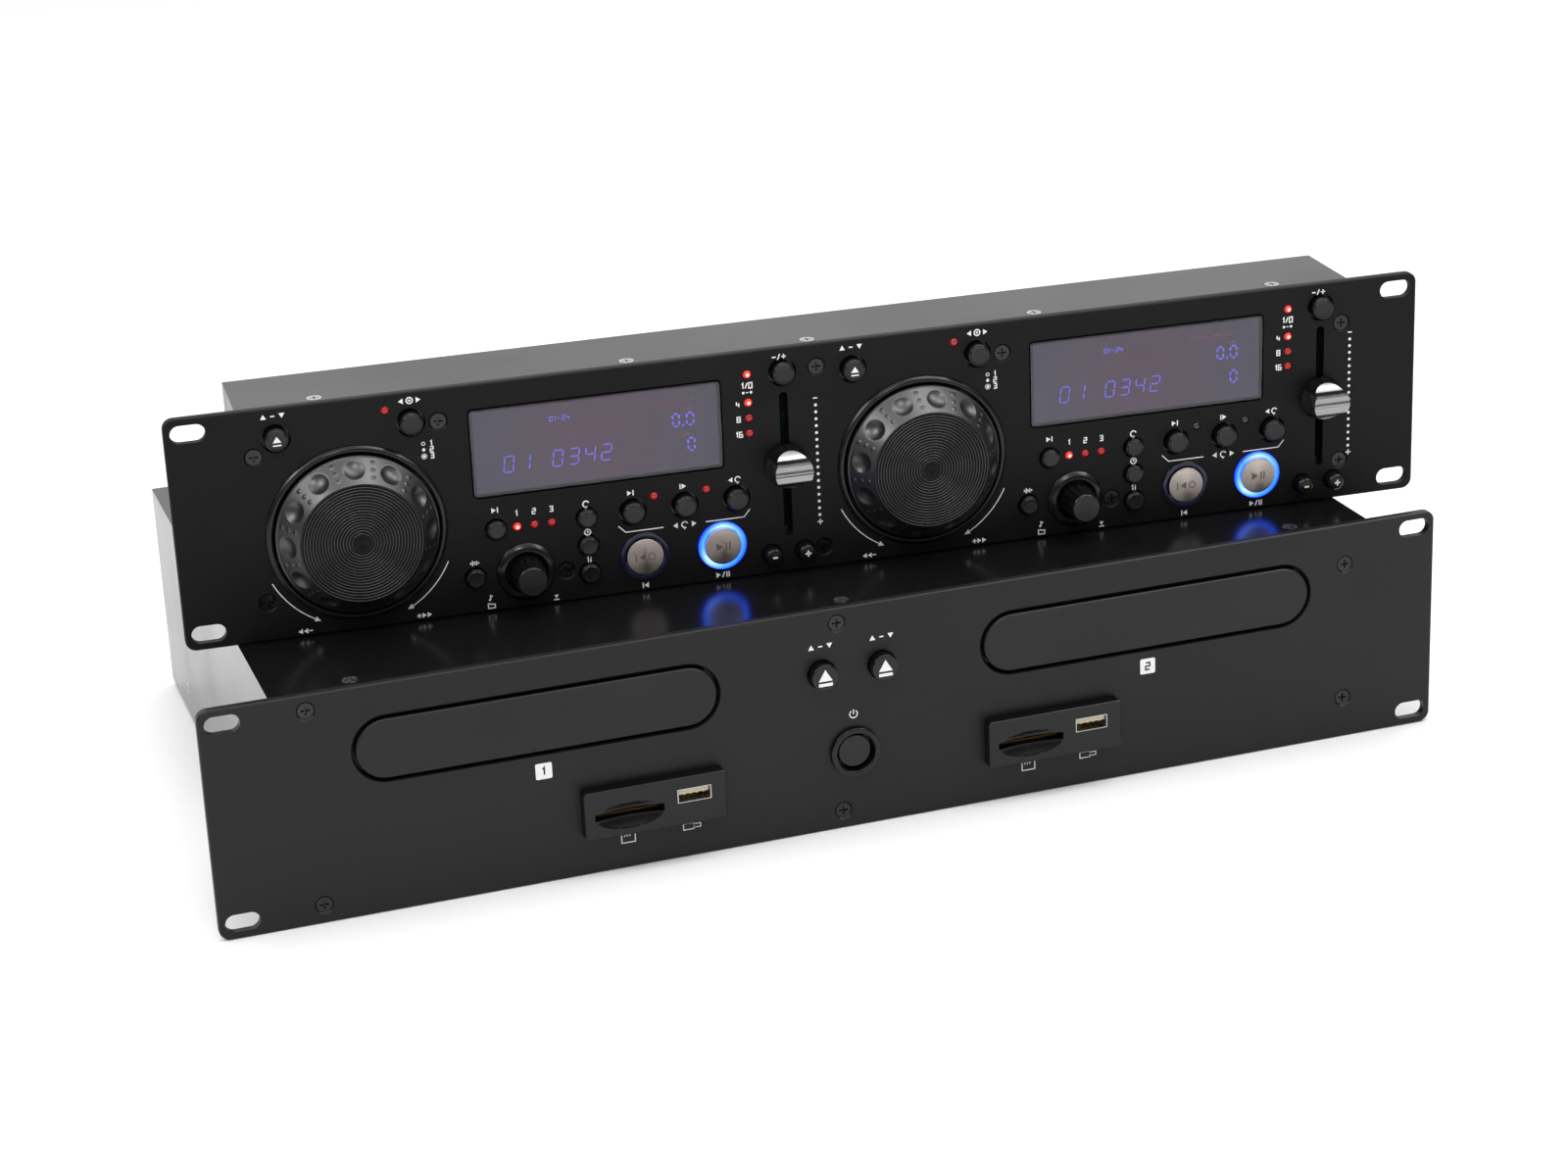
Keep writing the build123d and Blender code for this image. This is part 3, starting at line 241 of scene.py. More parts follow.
# Each mark is as wide as its first value, on a height of 1: its lines, closed lines and filled shapes
marks = {
    "0": (0.6, [], [[(0, 0), (0.6, 0), (0.6, 1), (0, 1)]], []),
    "1": (0.3, [[(0, 0.75), (0.22, 1), (0.22, 0)]], [], []),
    "2": (0.6, [[(0, 1), (0.6, 1), (0.6, 0.5), (0, 0.5), (0, 0), (0.6, 0)]], [], []),
    "3": (0.6, [[(0, 1), (0.6, 1), (0.6, 0), (0, 0)], [(0.1, 0.5), (0.6, 0.5)]], [], []),
    "4": (0.6, [[(0, 1), (0, 0.4), (0.6, 0.4)], [(0.45, 0.75), (0.45, 0)]], [], []),
    "6": (0.6, [[(0.6, 1), (0, 1), (0, 0), (0.6, 0), (0.6, 0.5), (0, 0.5)]], [], []),
    "8": (0.6, [[(0, 0.5), (0.6, 0.5)]], [[(0, 0), (0.6, 0), (0.6, 1), (0, 1)]], []),
    "minus": (0.7, [[(0, 0.5), (0.7, 0.5)]], [], []),
    "plus": (0.8, [[(0, 0.5), (0.8, 0.5)], [(0.4, 0.1), (0.4, 0.9)]], [], []),
    "slash": (0.4, [[(0, 0), (0.4, 1)]], [], []),
    "stop": (0.2, [[(0.1, 0), (0.1, 1)]], [], []),
    "up": (1.0, [], [], [[(0, 0.1), (1, 0.1), (0.5, 0.95)]]),
    "down": (1.0, [], [], [[(0, 0.9), (0.5, 0.05), (1, 0.9)]]),
    "right": (0.8, [], [], [[(0, 0), (0.8, 0.5), (0, 1)]]),
    "left": (0.8, [], [], [[(0.8, 0), (0.8, 1), (0, 0.5)]]),
    "pause": (0.6, [[(0.1, 0), (0.1, 1)], [(0.5, 0), (0.5, 1)]], [], []),
    "ring": (1.0, [], [arc(0.5, 0.5, 0.42)], []),
    "dot": (0.8, [], [], [arc(0.4, 0.5, 0.36)]),
    "wheel": (1.2, [], [arc(0.6, 0.5, 0.52)], [arc(0.6, 0.5, 0.2)]),
    "clock": (1.1, [[(0.55, 0.85), (0.55, 0.5), (0.8, 0.5)]], [arc(0.55, 0.5, 0.5)], []),
    "loop": (1.4, [arc(0.7, 0.5, 0.5, 20, 270)], [], [arrow_head((1.0, 0.02), (1, 0.25), 0.5, 0.55)]),
    "beats": (1.6, [[(0.1, 0.3), (0.1, 0.7)], [(0.45, 0), (0.45, 1)], [(0.8, 0.25), (0.8, 0.75)],
                    [(1.15, 0.1), (1.15, 0.9)], [(1.5, 0.35), (1.5, 0.65)]], [], []),
    "note": (0.9, [[(0.45, 0.15), (0.45, 0.95), (0.85, 0.75)]], [], [arc(0.28, 0.17, 0.2)]),
    "sleeve": (1.3, [], [[(0, 0.05), (1.3, 0.05), (1.3, 0.8), (0.6, 0.8), (0.5, 0.95), (0, 0.95)]], []),
    "press": (1.0, [[(0, 0.05), (1, 0.05)]], [], [[(0.1, 0.95), (0.5, 0.3), (0.9, 0.95)]]),
}


def label(bm, names, x, z, high, out=print_high, gap=0.3, weight=0.22):
    """A row of marks, named in one string, centred at x and z."""
    names = names.split()
    left = -(sum(marks[name][0] for name in names) + gap * (len(names) - 1)) / 2
    for name in names:
        own, *kinds = marks[name]
        lines, loops, shapes = [[[(x + (left + u) * high, z + (v - 0.5) * high) for u, v in points]
                                 for points in kind] for kind in kinds]
        for points in lines:
            stroke(bm, points, weight * high, out)
        for points in loops:
            stroke(bm, points, weight * high, out, True)
        for points in shapes:
            patch(bm, points, out)
        left += own + gap


def outward(bm):
    """Turns every face's front to the outside."""
    bmesh.ops.recalc_face_normals(bm, faces=bm.faces)


def make(name, bm, place, materials, body, stands_for=(), sharp=35):
    """Turns the mesh built so far into a piece that moves with a body."""
    bm.transform(place)
    mesh = bpy.data.meshes.new(name)
    bm.to_mesh(mesh)
    bm.free()
    for material in materials:
        mesh.materials.append(material)
    mesh.shade_smooth()
    mesh.set_sharp_from_angle(angle=radians(sharp))
    piece = bpy.data.objects.new(name, mesh)
    bpy.context.scene.collection.objects.link(piece)
    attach(piece, body)
    if stands_for:
        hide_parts(*stands_for)
    return piece


def make_print(name, bm, place, material, body):
    """Gives flat marks their thickness. They sit on the face behind them."""
    outward(bm)
    for face in bm.faces:
        if face.normal.y > 0:
            face.normal_flip()
    bmesh.ops.solidify(bm, geom=bm.faces[:], thickness=print_high)
    return make(name, bm, place, [material], body, sharp=20)


white_ink = skin("screen ink, white", "#e9e9e7", (0.5, 0.7, 3), (0.12, 0.004), IOR=1.5)

black_ink = skin("screen ink, black", "#1a1a1b", (0.5, 0.7, 3), (0.12, 0.004), IOR=1.5)


def soft_square(x, z, side, corner):
    """A square with rounded corners."""
    points = []
    for quarter, (sx, sz) in enumerate(((1, 1), (-1, 1), (-1, -1), (1, -1))):
        points += arc(x + sx * (side / 2 - corner), z + sz * (side / 2 - corner), corner, quarter * 90, 90, 4)
    return points


bm = bmesh.new()
tiles_at = ((-119.2, -0.2, "1"), (119.5, -0.2, "2"))
for x, z, numeral in tiles_at:
    patch(bm, soft_square(x, z, 6.2, 0.6), print_high)
for x in (-12.0, 12.0):
    label(bm, "up minus down", x, 30.0, 2.3, gap=0.7)
stroke(bm, arc(0, 1.1, 1.5, 125, 290), 0.4, print_high)
stroke(bm, [(0, 1.0), (0, 2.9)], 0.4, print_high)
for x in (-89.2, 69.7):
    card = [(x - 2.6, -34.2), (x + 2.6, -34.2), (x + 2.6, -31.0), (x + 1.8, -30.2), (x - 2.6, -30.2)]
    stroke(bm, card, 0.4, print_high, True)
    for step in (-1.4, -0.4, 0.6):
        stroke(bm, [(x + step, -31.8), (x + step, -30.6)], 0.35, print_high)
for x in (-64.6, 94.4):
    plug = [(x - 3.4, -33.4), (x + 0.6, -33.4), (x + 0.6, -31.0), (x - 3.4, -31.0)]
    tip = [(x + 0.6, -32.9), (x + 3.2, -32.9), (x + 3.2, -31.5), (x + 0.6, -31.5)]
    stroke(bm, plug, 0.35, print_high, True)
    stroke(bm, tip, 0.3, print_high, True)
make_print("drive_marks", bm, drive, white_ink, "drive_unit")
bm = bmesh.new()
for x, z, numeral in tiles_at:
    label(bm, numeral, x, z, 2.8, 2 * print_high)
make_print("drive_tile_numbers", bm, drive, black_ink, "drive_unit")
# A line of dead matt black round each tray's slot is painted shade: it darkens the slot's cut edge and widens the
# dark gap round the tray's door.
gap_shade_paint = skin("painted_shade ink, matt black", "#030303", (0.8, 1.0, 3), IOR=1.5, Specular_IOR_Level=0.08)
bm = bmesh.new()
slot_z, slot_half_long, slot_half_high, shade_line_wide = 19.0, 68.25, 12.5, 0.5
for x in (-119.7, 119.7):
    outline = []
    for side, start in ((1, -90), (-1, 90)):
        outline += arc(x + side * (slot_half_long - slot_half_high), slot_z, slot_half_high + shade_line_wide / 2,
                       start, 180, 24)
    stroke(bm, outline, shade_line_wide, print_high / 2, True)
make_print("tray_slot_gap_shade", bm, drive, gap_shade_paint, "drive_unit")

# ---------------------------------------------------------------- turned and moulded shapes
# The collar of the power key, and every key cap, ring and knob of both units, is a turned or
# moulded round. Their edges are broken by a small radius that catches the light.


def eased(points, steps=5):
    """An outline whose corners, given as (radius, out, rounding), become short arcs."""
    line = []
    for i, point in enumerate(points):
        rounding = point[2] if len(point) > 2 else 0
        here = Vector(point[:2])
        if not rounding or i in (0, len(points) - 1):
            line.append(tuple(here))
            continue
        before = Vector(points[i - 1][:2]) - here
        after = Vector(points[i + 1][:2]) - here
        start = here + before.normalized() * min(rounding, before.length * 0.49)
        end = here + after.normalized() * min(rounding, after.length * 0.49)
        for step in range(steps + 1):
            t = step / steps
            line.append(tuple(start * (1 - t) ** 2 + here * 2 * t * (1 - t) + end * t * t))
    return line


def turned(bm, x, z, line, slot=0, steps=64, bend=None, slots=None):
    """A round about an axis square to the panel. The line's points are (radius, out), and a radius
    of 0 closes it. The UV map runs round it in turns, and along it in tenths of a metre. slots
    gives each step of the line a finish of its own."""
    uv = bm.loops.layers.uv.verify()
    rows = []
    long = 0.0
    for i, (radius, out) in enumerate(line):
        if i:
            long += (Vector(line[i]) - Vector(line[i - 1])).length
        if radius < 1e-6:
            rows.append((long, [bm.verts.new((x, -out, z))]))
            continue
        ring = []
        for step in range(steps):
            angle = 2 * pi * step / steps
            r, o = bend(radius, out, angle) if bend else (radius, out)
            ring.append(bm.verts.new((x + r * cos(angle), -o, z + r * sin(angle))))
        rows.append((long, ring))
    for row, ((long_a, a), (long_b, b)) in enumerate(zip(rows, rows[1:])):
        if len(a) == len(b) == 1:
            continue
        for step in range(steps):
            after = (step + 1) % steps
            corners = [(a[step % len(a)], step, long_a), (b[step % len(b)], step, long_b),
                       (b[after % len(b)], step + 1, long_b), (a[after % len(a)], step + 1, long_a)]
            if len(a) == 1:
                corners = corners[:3]
            elif len(b) == 1:
                corners = [corners[0], corners[1], corners[3]]
            face = bm.faces.new([corner[0] for corner in corners])
            face.material_index = slots[row] if slots else slot
            for loop, corner in zip(face.loops, corners):
                loop[uv].uv = (corner[1] / steps, corner[2] / 100)


def ring_line(inner, outer, stands, back, crown=0.5):
    """The closed outline of a ring with eased front edges."""
    line = eased([(inner, -back), (inner, stands, crown), (outer, stands, crown), (outer, -back)])
    return line + [line[0]]


# ---------------------------------------------------------------- port mouldings and power key
# Under each tray a gloss ABS moulding stands 5 mm out, with a dished slot for a memory card and a
# plug socket in a nickel shell. They are clipped in from behind, and so is the power key's collar.


def solids_of(node):
    """The separate solids of a node, each as a mesh of its own, with the size of its box in mm."""
    whole = bmesh.new()
    whole.from_mesh(frame["nodes"][node].data)
    bmesh.ops.remove_doubles(whole, verts=whole.verts, dist=1e-7)
    left = set(whole.verts)
    found = []
    while left:
        group, edge = set(), [left.pop()]
        while edge:
            vert = edge.pop()
            group.add(vert)
            for link in vert.link_edges:
                other = link.other_vert(vert)
                if other in left:
                    left.discard(other)
                    edge.append(other)
        own = bmesh.new()
        copies = {vert: own.verts.new(vert.co) for vert in group}
        for face in whole.faces:
            if face.verts[0] in group:
                own.faces.new([copies[vert] for vert in face.verts])
        spans = [sorted(vert.co[axis] for vert in group) for axis in range(3)]
        size = Vector([(span[-1] - span[0]) * 1000 for span in spans])
        middle = Vector([(span[-1] + span[0]) * 500 for span in spans])
        found.append((own, size, middle))
    whole.free()
    return sorted(found, key=lambda solid: tuple(solid[2]))


def merge(solids):
    """Several solids in one mesh."""
    whole = bmesh.new()
    for own, size, middle in solids:
        copies = {vert: whole.verts.new(vert.co) for vert in own.verts}
        for face in own.faces:
            whole.faces.new([copies[vert] for vert in face.verts])
        own.free()
    return whole


def bar(bm, x, y, z, slot=0):
    """A small block between two corners, each pair low then high."""
    corner = [bm.verts.new((a, b, c)) for a in x for b in y for c in z]
    for quad in ((0, 1, 3, 2), (4, 6, 7, 5), (0, 4, 5, 1), (2, 3, 7, 6), (0, 2, 6, 4), (1, 5, 7, 3)):
        face = bm.faces.new([corner[i] for i in quad])
        face.material_index = slot


as_built = Matrix.Identity(4)

# ABS from a polished tool: black and glossy, with hair-fine rubs.
gloss_abs = skin("polished ABS, black", "#0b0b0c", (0.16, 0.3, 14), (0.5, 0.002), IOR=1.53,
                 Specular_IOR_Level=0.3)

# Nickel plate on thin rolled sheet: bright, with drawing lines along it.
nickel = skin("bright nickel plate", "#c9c6bf", (0.18, 0.34, 4), (0.25, 0.002), Metallic=1.0)

# Gold flash over the sockets' contacts.
gold = skin("gold flash", "#d9a94e", (0.22, 0.36, 2), Metallic=1.0)

# The reader's board behind a card slot shows as a warm, brownish strip.
reader_board = skin("bare glass-fibre board, tan", "#8a6a34", (0.4, 0.6, 3), (0.3, 0.01), IOR=1.5)

tongue_nylon = skin("moulded nylon, cream", "#c9bfa6", (0.42, 0.58, 3), (0.3, 0.005), IOR=1.53)

port_x, port_z, port_wide, port_high, port_corner, port_stands = 79.2, -19.5, 54.1, 18.9, 1.2, 4.9
port_ease, port_back, port_flange = 0.35, 9.0, 2.0
# The card slot and the plug's hole: middle off the moulding's own, half width and half height
card_hole, plug_hole = (-10.1, -0.9, 13.2, 1.45), (14.8, 1.9, 6.57, 2.87)
dish_half, dish_above, dish_below, dish_deep = 13.9, 4.3, 5.8, 2.2


def grid_lines(half, marks, step):
    """Lines across a face from edge to edge, with one on each mark."""
    stops = sorted({-half, half, *marks})
    lines = [-half]
    for a, b in zip(stops, stops[1:]):
        count = max(1, round((b - a) / step))
        lines += [a + (b - a) * i / count for i in range(1, count + 1)]
    return lines


def port_moulding(bm, x):
    """A block whose front is dished round the card slot, with its two openings running through."""
    half_wide, half_high = port_wide / 2, port_high / 2
    holes = (card_hole, plug_hole)
    edges = [side * (half_wide - port_ease) for side in (-1, 1)]
    across = grid_lines(half_wide, edges + [u + side * w for u, v, w, h in holes for side in (-1, 1)], 0.45)
    edges = [side * (half_high - port_ease) for side in (-1, 1)]
    upward = grid_lines(half_high, edges + [v + side * h for u, v, w, h in holes for side in (-1, 1)], 0.45)
    rows = []
    for u in across:
        row = []
        for v in upward:
            out = port_stands - (port_ease if abs(u) == half_wide or abs(v) == half_high else 0.0)
            high = dish_above if v > card_hole[1] else dish_below
            share = ((u - card_hole[0]) / dish_half) ** 2 + ((v - card_hole[1]) / high) ** 2
            out -= dish_deep * max(0.0, 1 - share)
            past = Vector((abs(u) - half_wide + port_corner, abs(v) - half_high + port_corner))
            at_u, at_v = u, v
            if min(past) > 0 and past.length > port_corner:
                past *= port_corner / past.length
                at_u = (half_wide - port_corner + past.x) * (1 if u > 0 else -1)
                at_v = (half_high - port_corner + past.y) * (1 if v > 0 else -1)
            row.append(bm.verts.new((x + at_u, -out, port_z + at_v)))
        rows.append(row)
    for i in range(len(across) - 1):
        for j in range(len(upward) - 1):
            u, v = (across[i] + across[i + 1]) / 2, (upward[j] + upward[j + 1]) / 2
            if not any(abs(u - a) < w and abs(v - b) < h for a, b, w, h in holes):
                bm.faces.new((rows[i][j], rows[i + 1][j], rows[i + 1][j + 1], rows[i][j + 1]))
    bmesh.ops.delete(bm, geom=[vert for vert in bm.verts if not vert.link_faces], context="VERTS")
    grown = bmesh.ops.extrude_edge_only(bm, edges=[edge for edge in bm.edges if edge.is_boundary])["geom"]
    for vert in grown:
        if isinstance(vert, bmesh.types.BMVert):
            vert.co.y = port_back
    bmesh.ops.triangle_fill(bm, use_beauty=True, edges=[edge for edge in bm.edges if edge.is_boundary])


bm = bmesh.new()
for x in (-port_x, port_x):
    port_moulding(bm, x)
for x in (-port_x, port_x):
    wide, high = port_wide / 2, port_high / 2
    for side in (-1, 1):
        near, far = sorted((x + side * (wide - 0.1), x + side * (wide + port_flange)))
        bar(bm, (near, far), (3.05, 4.2), (port_z - high - port_flange, port_z + high + port_flange))
        low, top = sorted((port_z + side * (high - 0.1), port_z + side * (high + port_flange)))
        bar(bm, (x - wide - port_flange, x + wide + port_flange), (3.05, 4.2), (low, top))
outward(bm)
make("port_mouldings", bm, drive, [gloss_abs], "drive_unit", ["front_bezels"], 25)

shells, tongues, readers = [], [], []
for solid in solids_of("front_bezels"):
    wide = solid[1].x
    if 25 < wide < 50:
        readers.append(solid)
    elif wide > 15:
        solid[0].free()
    elif wide > 12.5:
        shells.append(solid)
    else:
        tongues.append(solid)
make("socket_shells", merge(shells), as_built, [nickel], "drive_unit", sharp=25)
make("socket_tongues", merge(tongues), as_built, [tongue_nylon], "drive_unit", sharp=25)
make("card_readers", merge(readers), as_built, [reader_board], "drive_unit", sharp=25)

# Each reader's board runs forward on the floor of its slot. Four contact strips lie under each
# socket's tongue, and nine on each board.
bm = bmesh.new()
slot_floor = port_z + card_hole[1] - card_hole[3]
board_low, board_high = slot_floor + 0.02, slot_floor + 0.6
for port in (-port_x, port_x):
    x = port + card_hole[0]
    bar(bm, (x - 12.6, x + 12.6), (0.4, 8.9), (board_low, board_high))
outward(bm)
make("reader_boards", bm, drive, [reader_board], "drive_unit", sharp=25)
bm = bmesh.new()
for port in (-port_x, port_x):
    socket_x, socket_z = port + plug_hole[0], port_z + plug_hole[1]
    for step in (-3.6, -1.2, 1.2, 3.6):
        bar(bm, (socket_x + step - 0.5, socket_x + step + 0.5), (-3.4, 6.0),
            (socket_z + 0.06, socket_z + 0.29))
    for step in range(9):
        x = port + card_hole[0] + 2.5 * (step - 4)
        bar(bm, (x - 0.6, x + 0.6), (1.6, 8.0), (board_high, board_high + 0.06))
outward(bm)
make("socket_contacts", bm, drive, [gold], "drive_unit", sharp=25)

bm = bmesh.new()
power_z = -13.8
turned(bm, 0, power_z, ring_line(7.5, 9.75, 2.0, 4.25, 0.75), steps=96)
make("power_collar", bm, drive, [gloss_abs], "drive_unit")

# ---------------------------------------------------------------- keys
# Caps are moulded in black ABS with a fine matt from the tool, a slightly dished face and a broken
# edge. A flange behind the panel holds each in, and a dome switch on the board pushes it back.
key_abs = skin("moulded ABS, satin black", "#08080a", (0.22, 0.34, 6), (0.22, 0.004), IOR=1.53,
               Specular_IOR_Level=0.35)
flange_past, flange_thick = 0.8, 1.0


def cap_line(cap, stands, edge, hole, back, dish=0.15):
    """Outline of a cap, from the middle of its face round to its flange behind the panel."""
    rim, rear = hole + flange_past, -back - flange_thick
    return eased([(0, stands - dish), (cap - edge - 0.5, stands - dish * 0.6, 0.8),
                  (cap - edge * 0.5, stands, edge), (cap, stands - edge, edge), (cap, -back),
                  (rim, -back), (rim, rear), (0, rear)])


def stepped_line(cap, stands, edge, hole, back, dish):
    """Outline of a deck key's cap: a dished face, and a shoulder round it that is a little lower."""
    face, rim, rear = cap - 0.85, hole + flange_past, -back - flange_thick
    return eased([(0, stands - dish), (face - 0.5, stands - dish * 0.6, 0.6), (face - 0.1, stands, 0.3),
                  (face + 0.1, stands - 0.35, 0.15), (cap - 0.3, stands - 0.45, 0.3),
                  (cap, stands - 1.2, 0.4),
                  (cap, -back), (rim, -back), (rim, rear), (0, rear)])


def eject_mark(bm, x, z, wide, high, bar_high, mark_gap, out):
    """A triangle over a bar, printed on a cap's face."""
    left, right, low = x - wide / 2, x + wide / 2, z - (high + bar_high + mark_gap) / 2
    patch(bm, [(left, low), (right, low), (right, low + bar_high), (left, low + bar_high)], out)
    foot = low + bar_high + mark_gap
    patch(bm, [(left, foot), (right, foot), (x, foot + high)], out)


tray_z = 19.0
for number, x in enumerate((-11.8, 11.8), start=1):
    name = f"drive_eject_button_{number}"
    bm = bmesh.new()
    turned(bm, x, tray_z, cap_line(5.2, 4.2, 0.6, 5.75, 3.2, 0.0))
    make(f"drive_eject_cap_{number}", bm, drive, [key_abs], name, [name])
    bm = bmesh.new()
    eject_mark(bm, x, tray_z, 5.4, 4.5, 1.2, 0.8, 4.2 + print_high)
    make_print(f"drive_eject_mark_{number}", bm, drive, white_ink, name)
bm = bmesh.new()
turned(bm, 0, power_z, cap_line(6.4, 0.0, 0.4, 9.8, 4.4, 0.1), steps=96)
make("power_cap", bm, drive, [key_abs], "power_button", ["power_button"])

# ---------------------------------------------------------------- case screws
# Countersunk cross-headed screws hold the panels and covers. Those in the panels are blackened
# steel, and those in the covers are zinc-plated and bright.
black_oxide = skin("black oxide on steel", "#38383a", (0.14, 0.32, 1.5), (0.3, 0.006), Metallic=1.0)

zinc_plate = skin("bright zinc plate", "#b4b5b7", (0.2, 0.4, 1.5), (0.3, 0.005), Metallic=1.0)

# Only a panel screw's head is wider than this, across and up
panel_head = 5.2
for unit in ("drive", "control"):
    node, body = f"{unit}_screws", f"{unit}_unit"
    in_panel, in_case = [], []
    for solid in solids_of(node):
        size = solid[1]
        from_front = size.z > size.y and min(size.x, size.z) > panel_head
        (in_panel if from_front else in_case).append(solid)
    make(f"{unit}_panel_screws", merge(in_panel), as_built, [black_oxide], body, [node], 25)
    make(f"{unit}_case_screws", merge(in_case), as_built, [zinc_plate], body, sharp=25)

# ---------------------------------------------------------------- rear sockets
# Coaxial sockets with nickel barrels in coloured insulators, two round link sockets and the mains
# inlet, each screwed or snapped into the rear wall.
socket_abs = skin("moulded nylon, black", "#1b1b1c", (0.38, 0.55, 8), (0.35, 0.008), IOR=1.53)
barrels, mouldings = [], []
for solid in solids_of("rear_sockets"):
    (barrels if 11.5 < solid[1].x < 12.5 or solid[1].x < 3 else mouldings).append(solid)
make("socket_barrels", merge(barrels), as_built, [nickel], "drive_unit", ["rear_sockets"], 25)
make("socket_mouldings", merge(mouldings), as_built, [socket_abs], "drive_unit", sharp=25)

rear_wall = 254.0
insulators = (("white", "#d8d8d4", ((-150, 8), (-130, 8), (130, 8), (150, 8))),
              ("red", "#a3201c", ((-150, -14), (-130, -14), (130, -14), (150, -14))),
              ("orange", "#c96a1d", ((-100, -14), (100, -14))))
for colour, code, sockets in insulators:
    nylon = skin(f"moulded nylon, {colour}", code, (0.34, 0.5, 4), IOR=1.53)
    bm = bmesh.new()
    for x, z in sockets:
        ring = [(4.2, -rear_wall), (4.2, -rear_wall - 1.4), (5.6, -rear_wall - 1.4),
                (6.0, -rear_wall - 1.0), (6.0, -rear_wall), (4.2, -rear_wall)]
        turned(bm, x, z, ring, steps=48)
    make(f"socket_insulators_{colour}", bm, drive, [nylon], "drive_unit")

# ---------------------------------------------------------------- control unit's housing
# A shallow box folded from 1 mm steel and stoved black, open to the panel and flanged round it.
# It carries the same enamel as the drive unit, rubbed a little duller.
case_enamel = skin("black stoving enamel, satin", "#101011", (0.26, 0.36, 70), (1.2, 0.004), IOR=1.5)
coat("control_housing", case_enamel)

# Two round link sockets stand out of its rear wall, each a black moulding with a raised rim.
decks = (-175.7, 39.5)
link_inner, link_outer, link_wall, link_rim, link_face = 7.05, 7.6, 43.0, 45.0, 44.6
pin_circle, pin_radius = 3.6, 0.55
bm = bmesh.new()
for deck in decks:
    socket = eased([(link_inner, -link_wall), (link_outer, -link_wall), (link_outer, -link_rim, 0.3),
                    (6.2, -link_rim, 0.2), (6.0, -link_face), (0, -link_face)])
    turned(bm, deck, 0, socket, steps=48)
    for turn_at in range(30, 360, 60):
        pin_x, pin_z = deck + pin_circle * cos(radians(turn_at)), pin_circle * sin(radians(turn_at))
        turned(bm, pin_x, pin_z, [(pin_radius, -44.58), (pin_radius, -44.8), (0, -44.8)], 1, 16)
outward(bm)
make("link_sockets", bm, control, [socket_abs, nickel], "control_unit", sharp=30)

# ---------------------------------------------------------------- displays
# Behind each window of smoked polycarbonate a vacuum tube shows numerals as slanted blue segments.
# Its lit grid gives the whole window a violet-grey haze.
window_x, window_z, window_wide, window_high = 90.9, 17.4, 95.2, 34.7

smoked, tree, shader = finish("smoked polycarbonate", Roughness=0.0, IOR=1.49,
                              Transmission_Weight=1.0, Specular_IOR_Level=0.25)
place = add(tree, "TexCoord")
tone = add(tree, "TexNoise", {"Scale": per_mm(30), "Detail": 2.0}, {"Vector": place.outputs["Object"]})
dye = add(tree, "ValToRGB", {}, {"Fac": tone.outputs["Fac"]})
dye.color_ramp.elements[0].color, dye.color_ramp.elements[1].color = linear("#b4b1c2"), linear("#bebac8")
tree.links.new(dye.outputs["Color"], shader.inputs["Base Color"])


def glowing(name, first, second, size, centre=None):
    """A phosphor or grid that only gives light. It wanders between two linear colours, or goes from
    the first at a centre to the second at this size from it."""
    material, tree, shader = finish(name, Base_Color=linear("#000000"), Roughness=0.6, Specular_IOR_Level=0.0,
                                    Emission_Strength=1.0)
    place = add(tree, "TexCoord")
    cloud = add(tree, "TexNoise", {"Scale": per_mm(size), "Detail": 1.0}, {"Vector": place.outputs["Object"]})
    glow = add(tree, "ValToRGB", {}, {"Fac": cloud.outputs["Fac"]})
    glow.color_ramp.elements[0].position, glow.color_ramp.elements[1].position = 0.35, 0.65
    if centre:
        away = add(tree, "VectorMath", {"operation": "DISTANCE", 1: centre}, {0: place.outputs["Object"]})
        share = add(tree, "Math", {"operation": "MULTIPLY", 1: per_mm(size)}, {0: away.outputs["Value"]})
        wander = add(tree, "Math", {"operation": "MULTIPLY_ADD", 1: 0.35},
                     {0: cloud.outputs["Fac"], 2: share.outputs["Value"]})
        tree.links.new(wander.outputs["Value"], glow.inputs["Fac"])
        glow.color_ramp.elements[1].position = 1.0
    glow.color_ramp.elements[0].color, glow.color_ramp.elements[1].color = [*first, 1.0], [*second, 1.0]
    tree.links.new(glow.outputs["Color"], shader.inputs["Emission Color"])
    return material


segment_blue = glowing("lit segment, blue", (0.30, 0.26, 1.45), (0.38, 0.32, 1.7), 6)
segment_red = glowing("lit segment, dull red", (0.30, 0.06, 0.11), (0.36, 0.08, 0.13), 6)
# Unlit segments are given a faint glow of their own: painted light, since an unlit segment gives none.
unlit_segment_painted_glow = glowing("unlit segment", (0.135, 0.078, 0.11), (0.15, 0.09, 0.12), 6)
gasket = skin("foam gasket, black", "#070708", (0.8, 1.0, 2), IOR=1.5, Specular_IOR_Level=0.1)

segments = {"a": ((0, 1), (1, 1)), "b": ((1, 1), (1, 0.5)), "c": ((1, 0.5), (1, 0)), "d": ((0, 0), (1, 0)),
            "e": ((0, 0.5), (0, 0)), "f": ((0, 1), (0, 0.5)), "g": ((0, 0.5), (1, 0.5))}
numerals = {"0": "abcdef", "1": "bc", "2": "abged", "3": "abgcd", "4": "fgbc", "8": "abcdefg"}


def numeral(bm, figure, x, z, wide, high, out, weight, slant=0.0):
    """A figure of separate segments. x and z are its lower left corner."""
    for key in numerals[figure]:
        (x0, z0), (x1, z1) = segments[key]
        a = Vector((x + x0 * wide + z0 * high * slant, z + z0 * high))
        b = Vector((x + x1 * wide + z1 * high * slant, z + z1 * high))
        gap = (b - a).normalized() * weight * 0.8
        stroke(bm, [tuple(a + gap), tuple(b - gap)], weight, out)


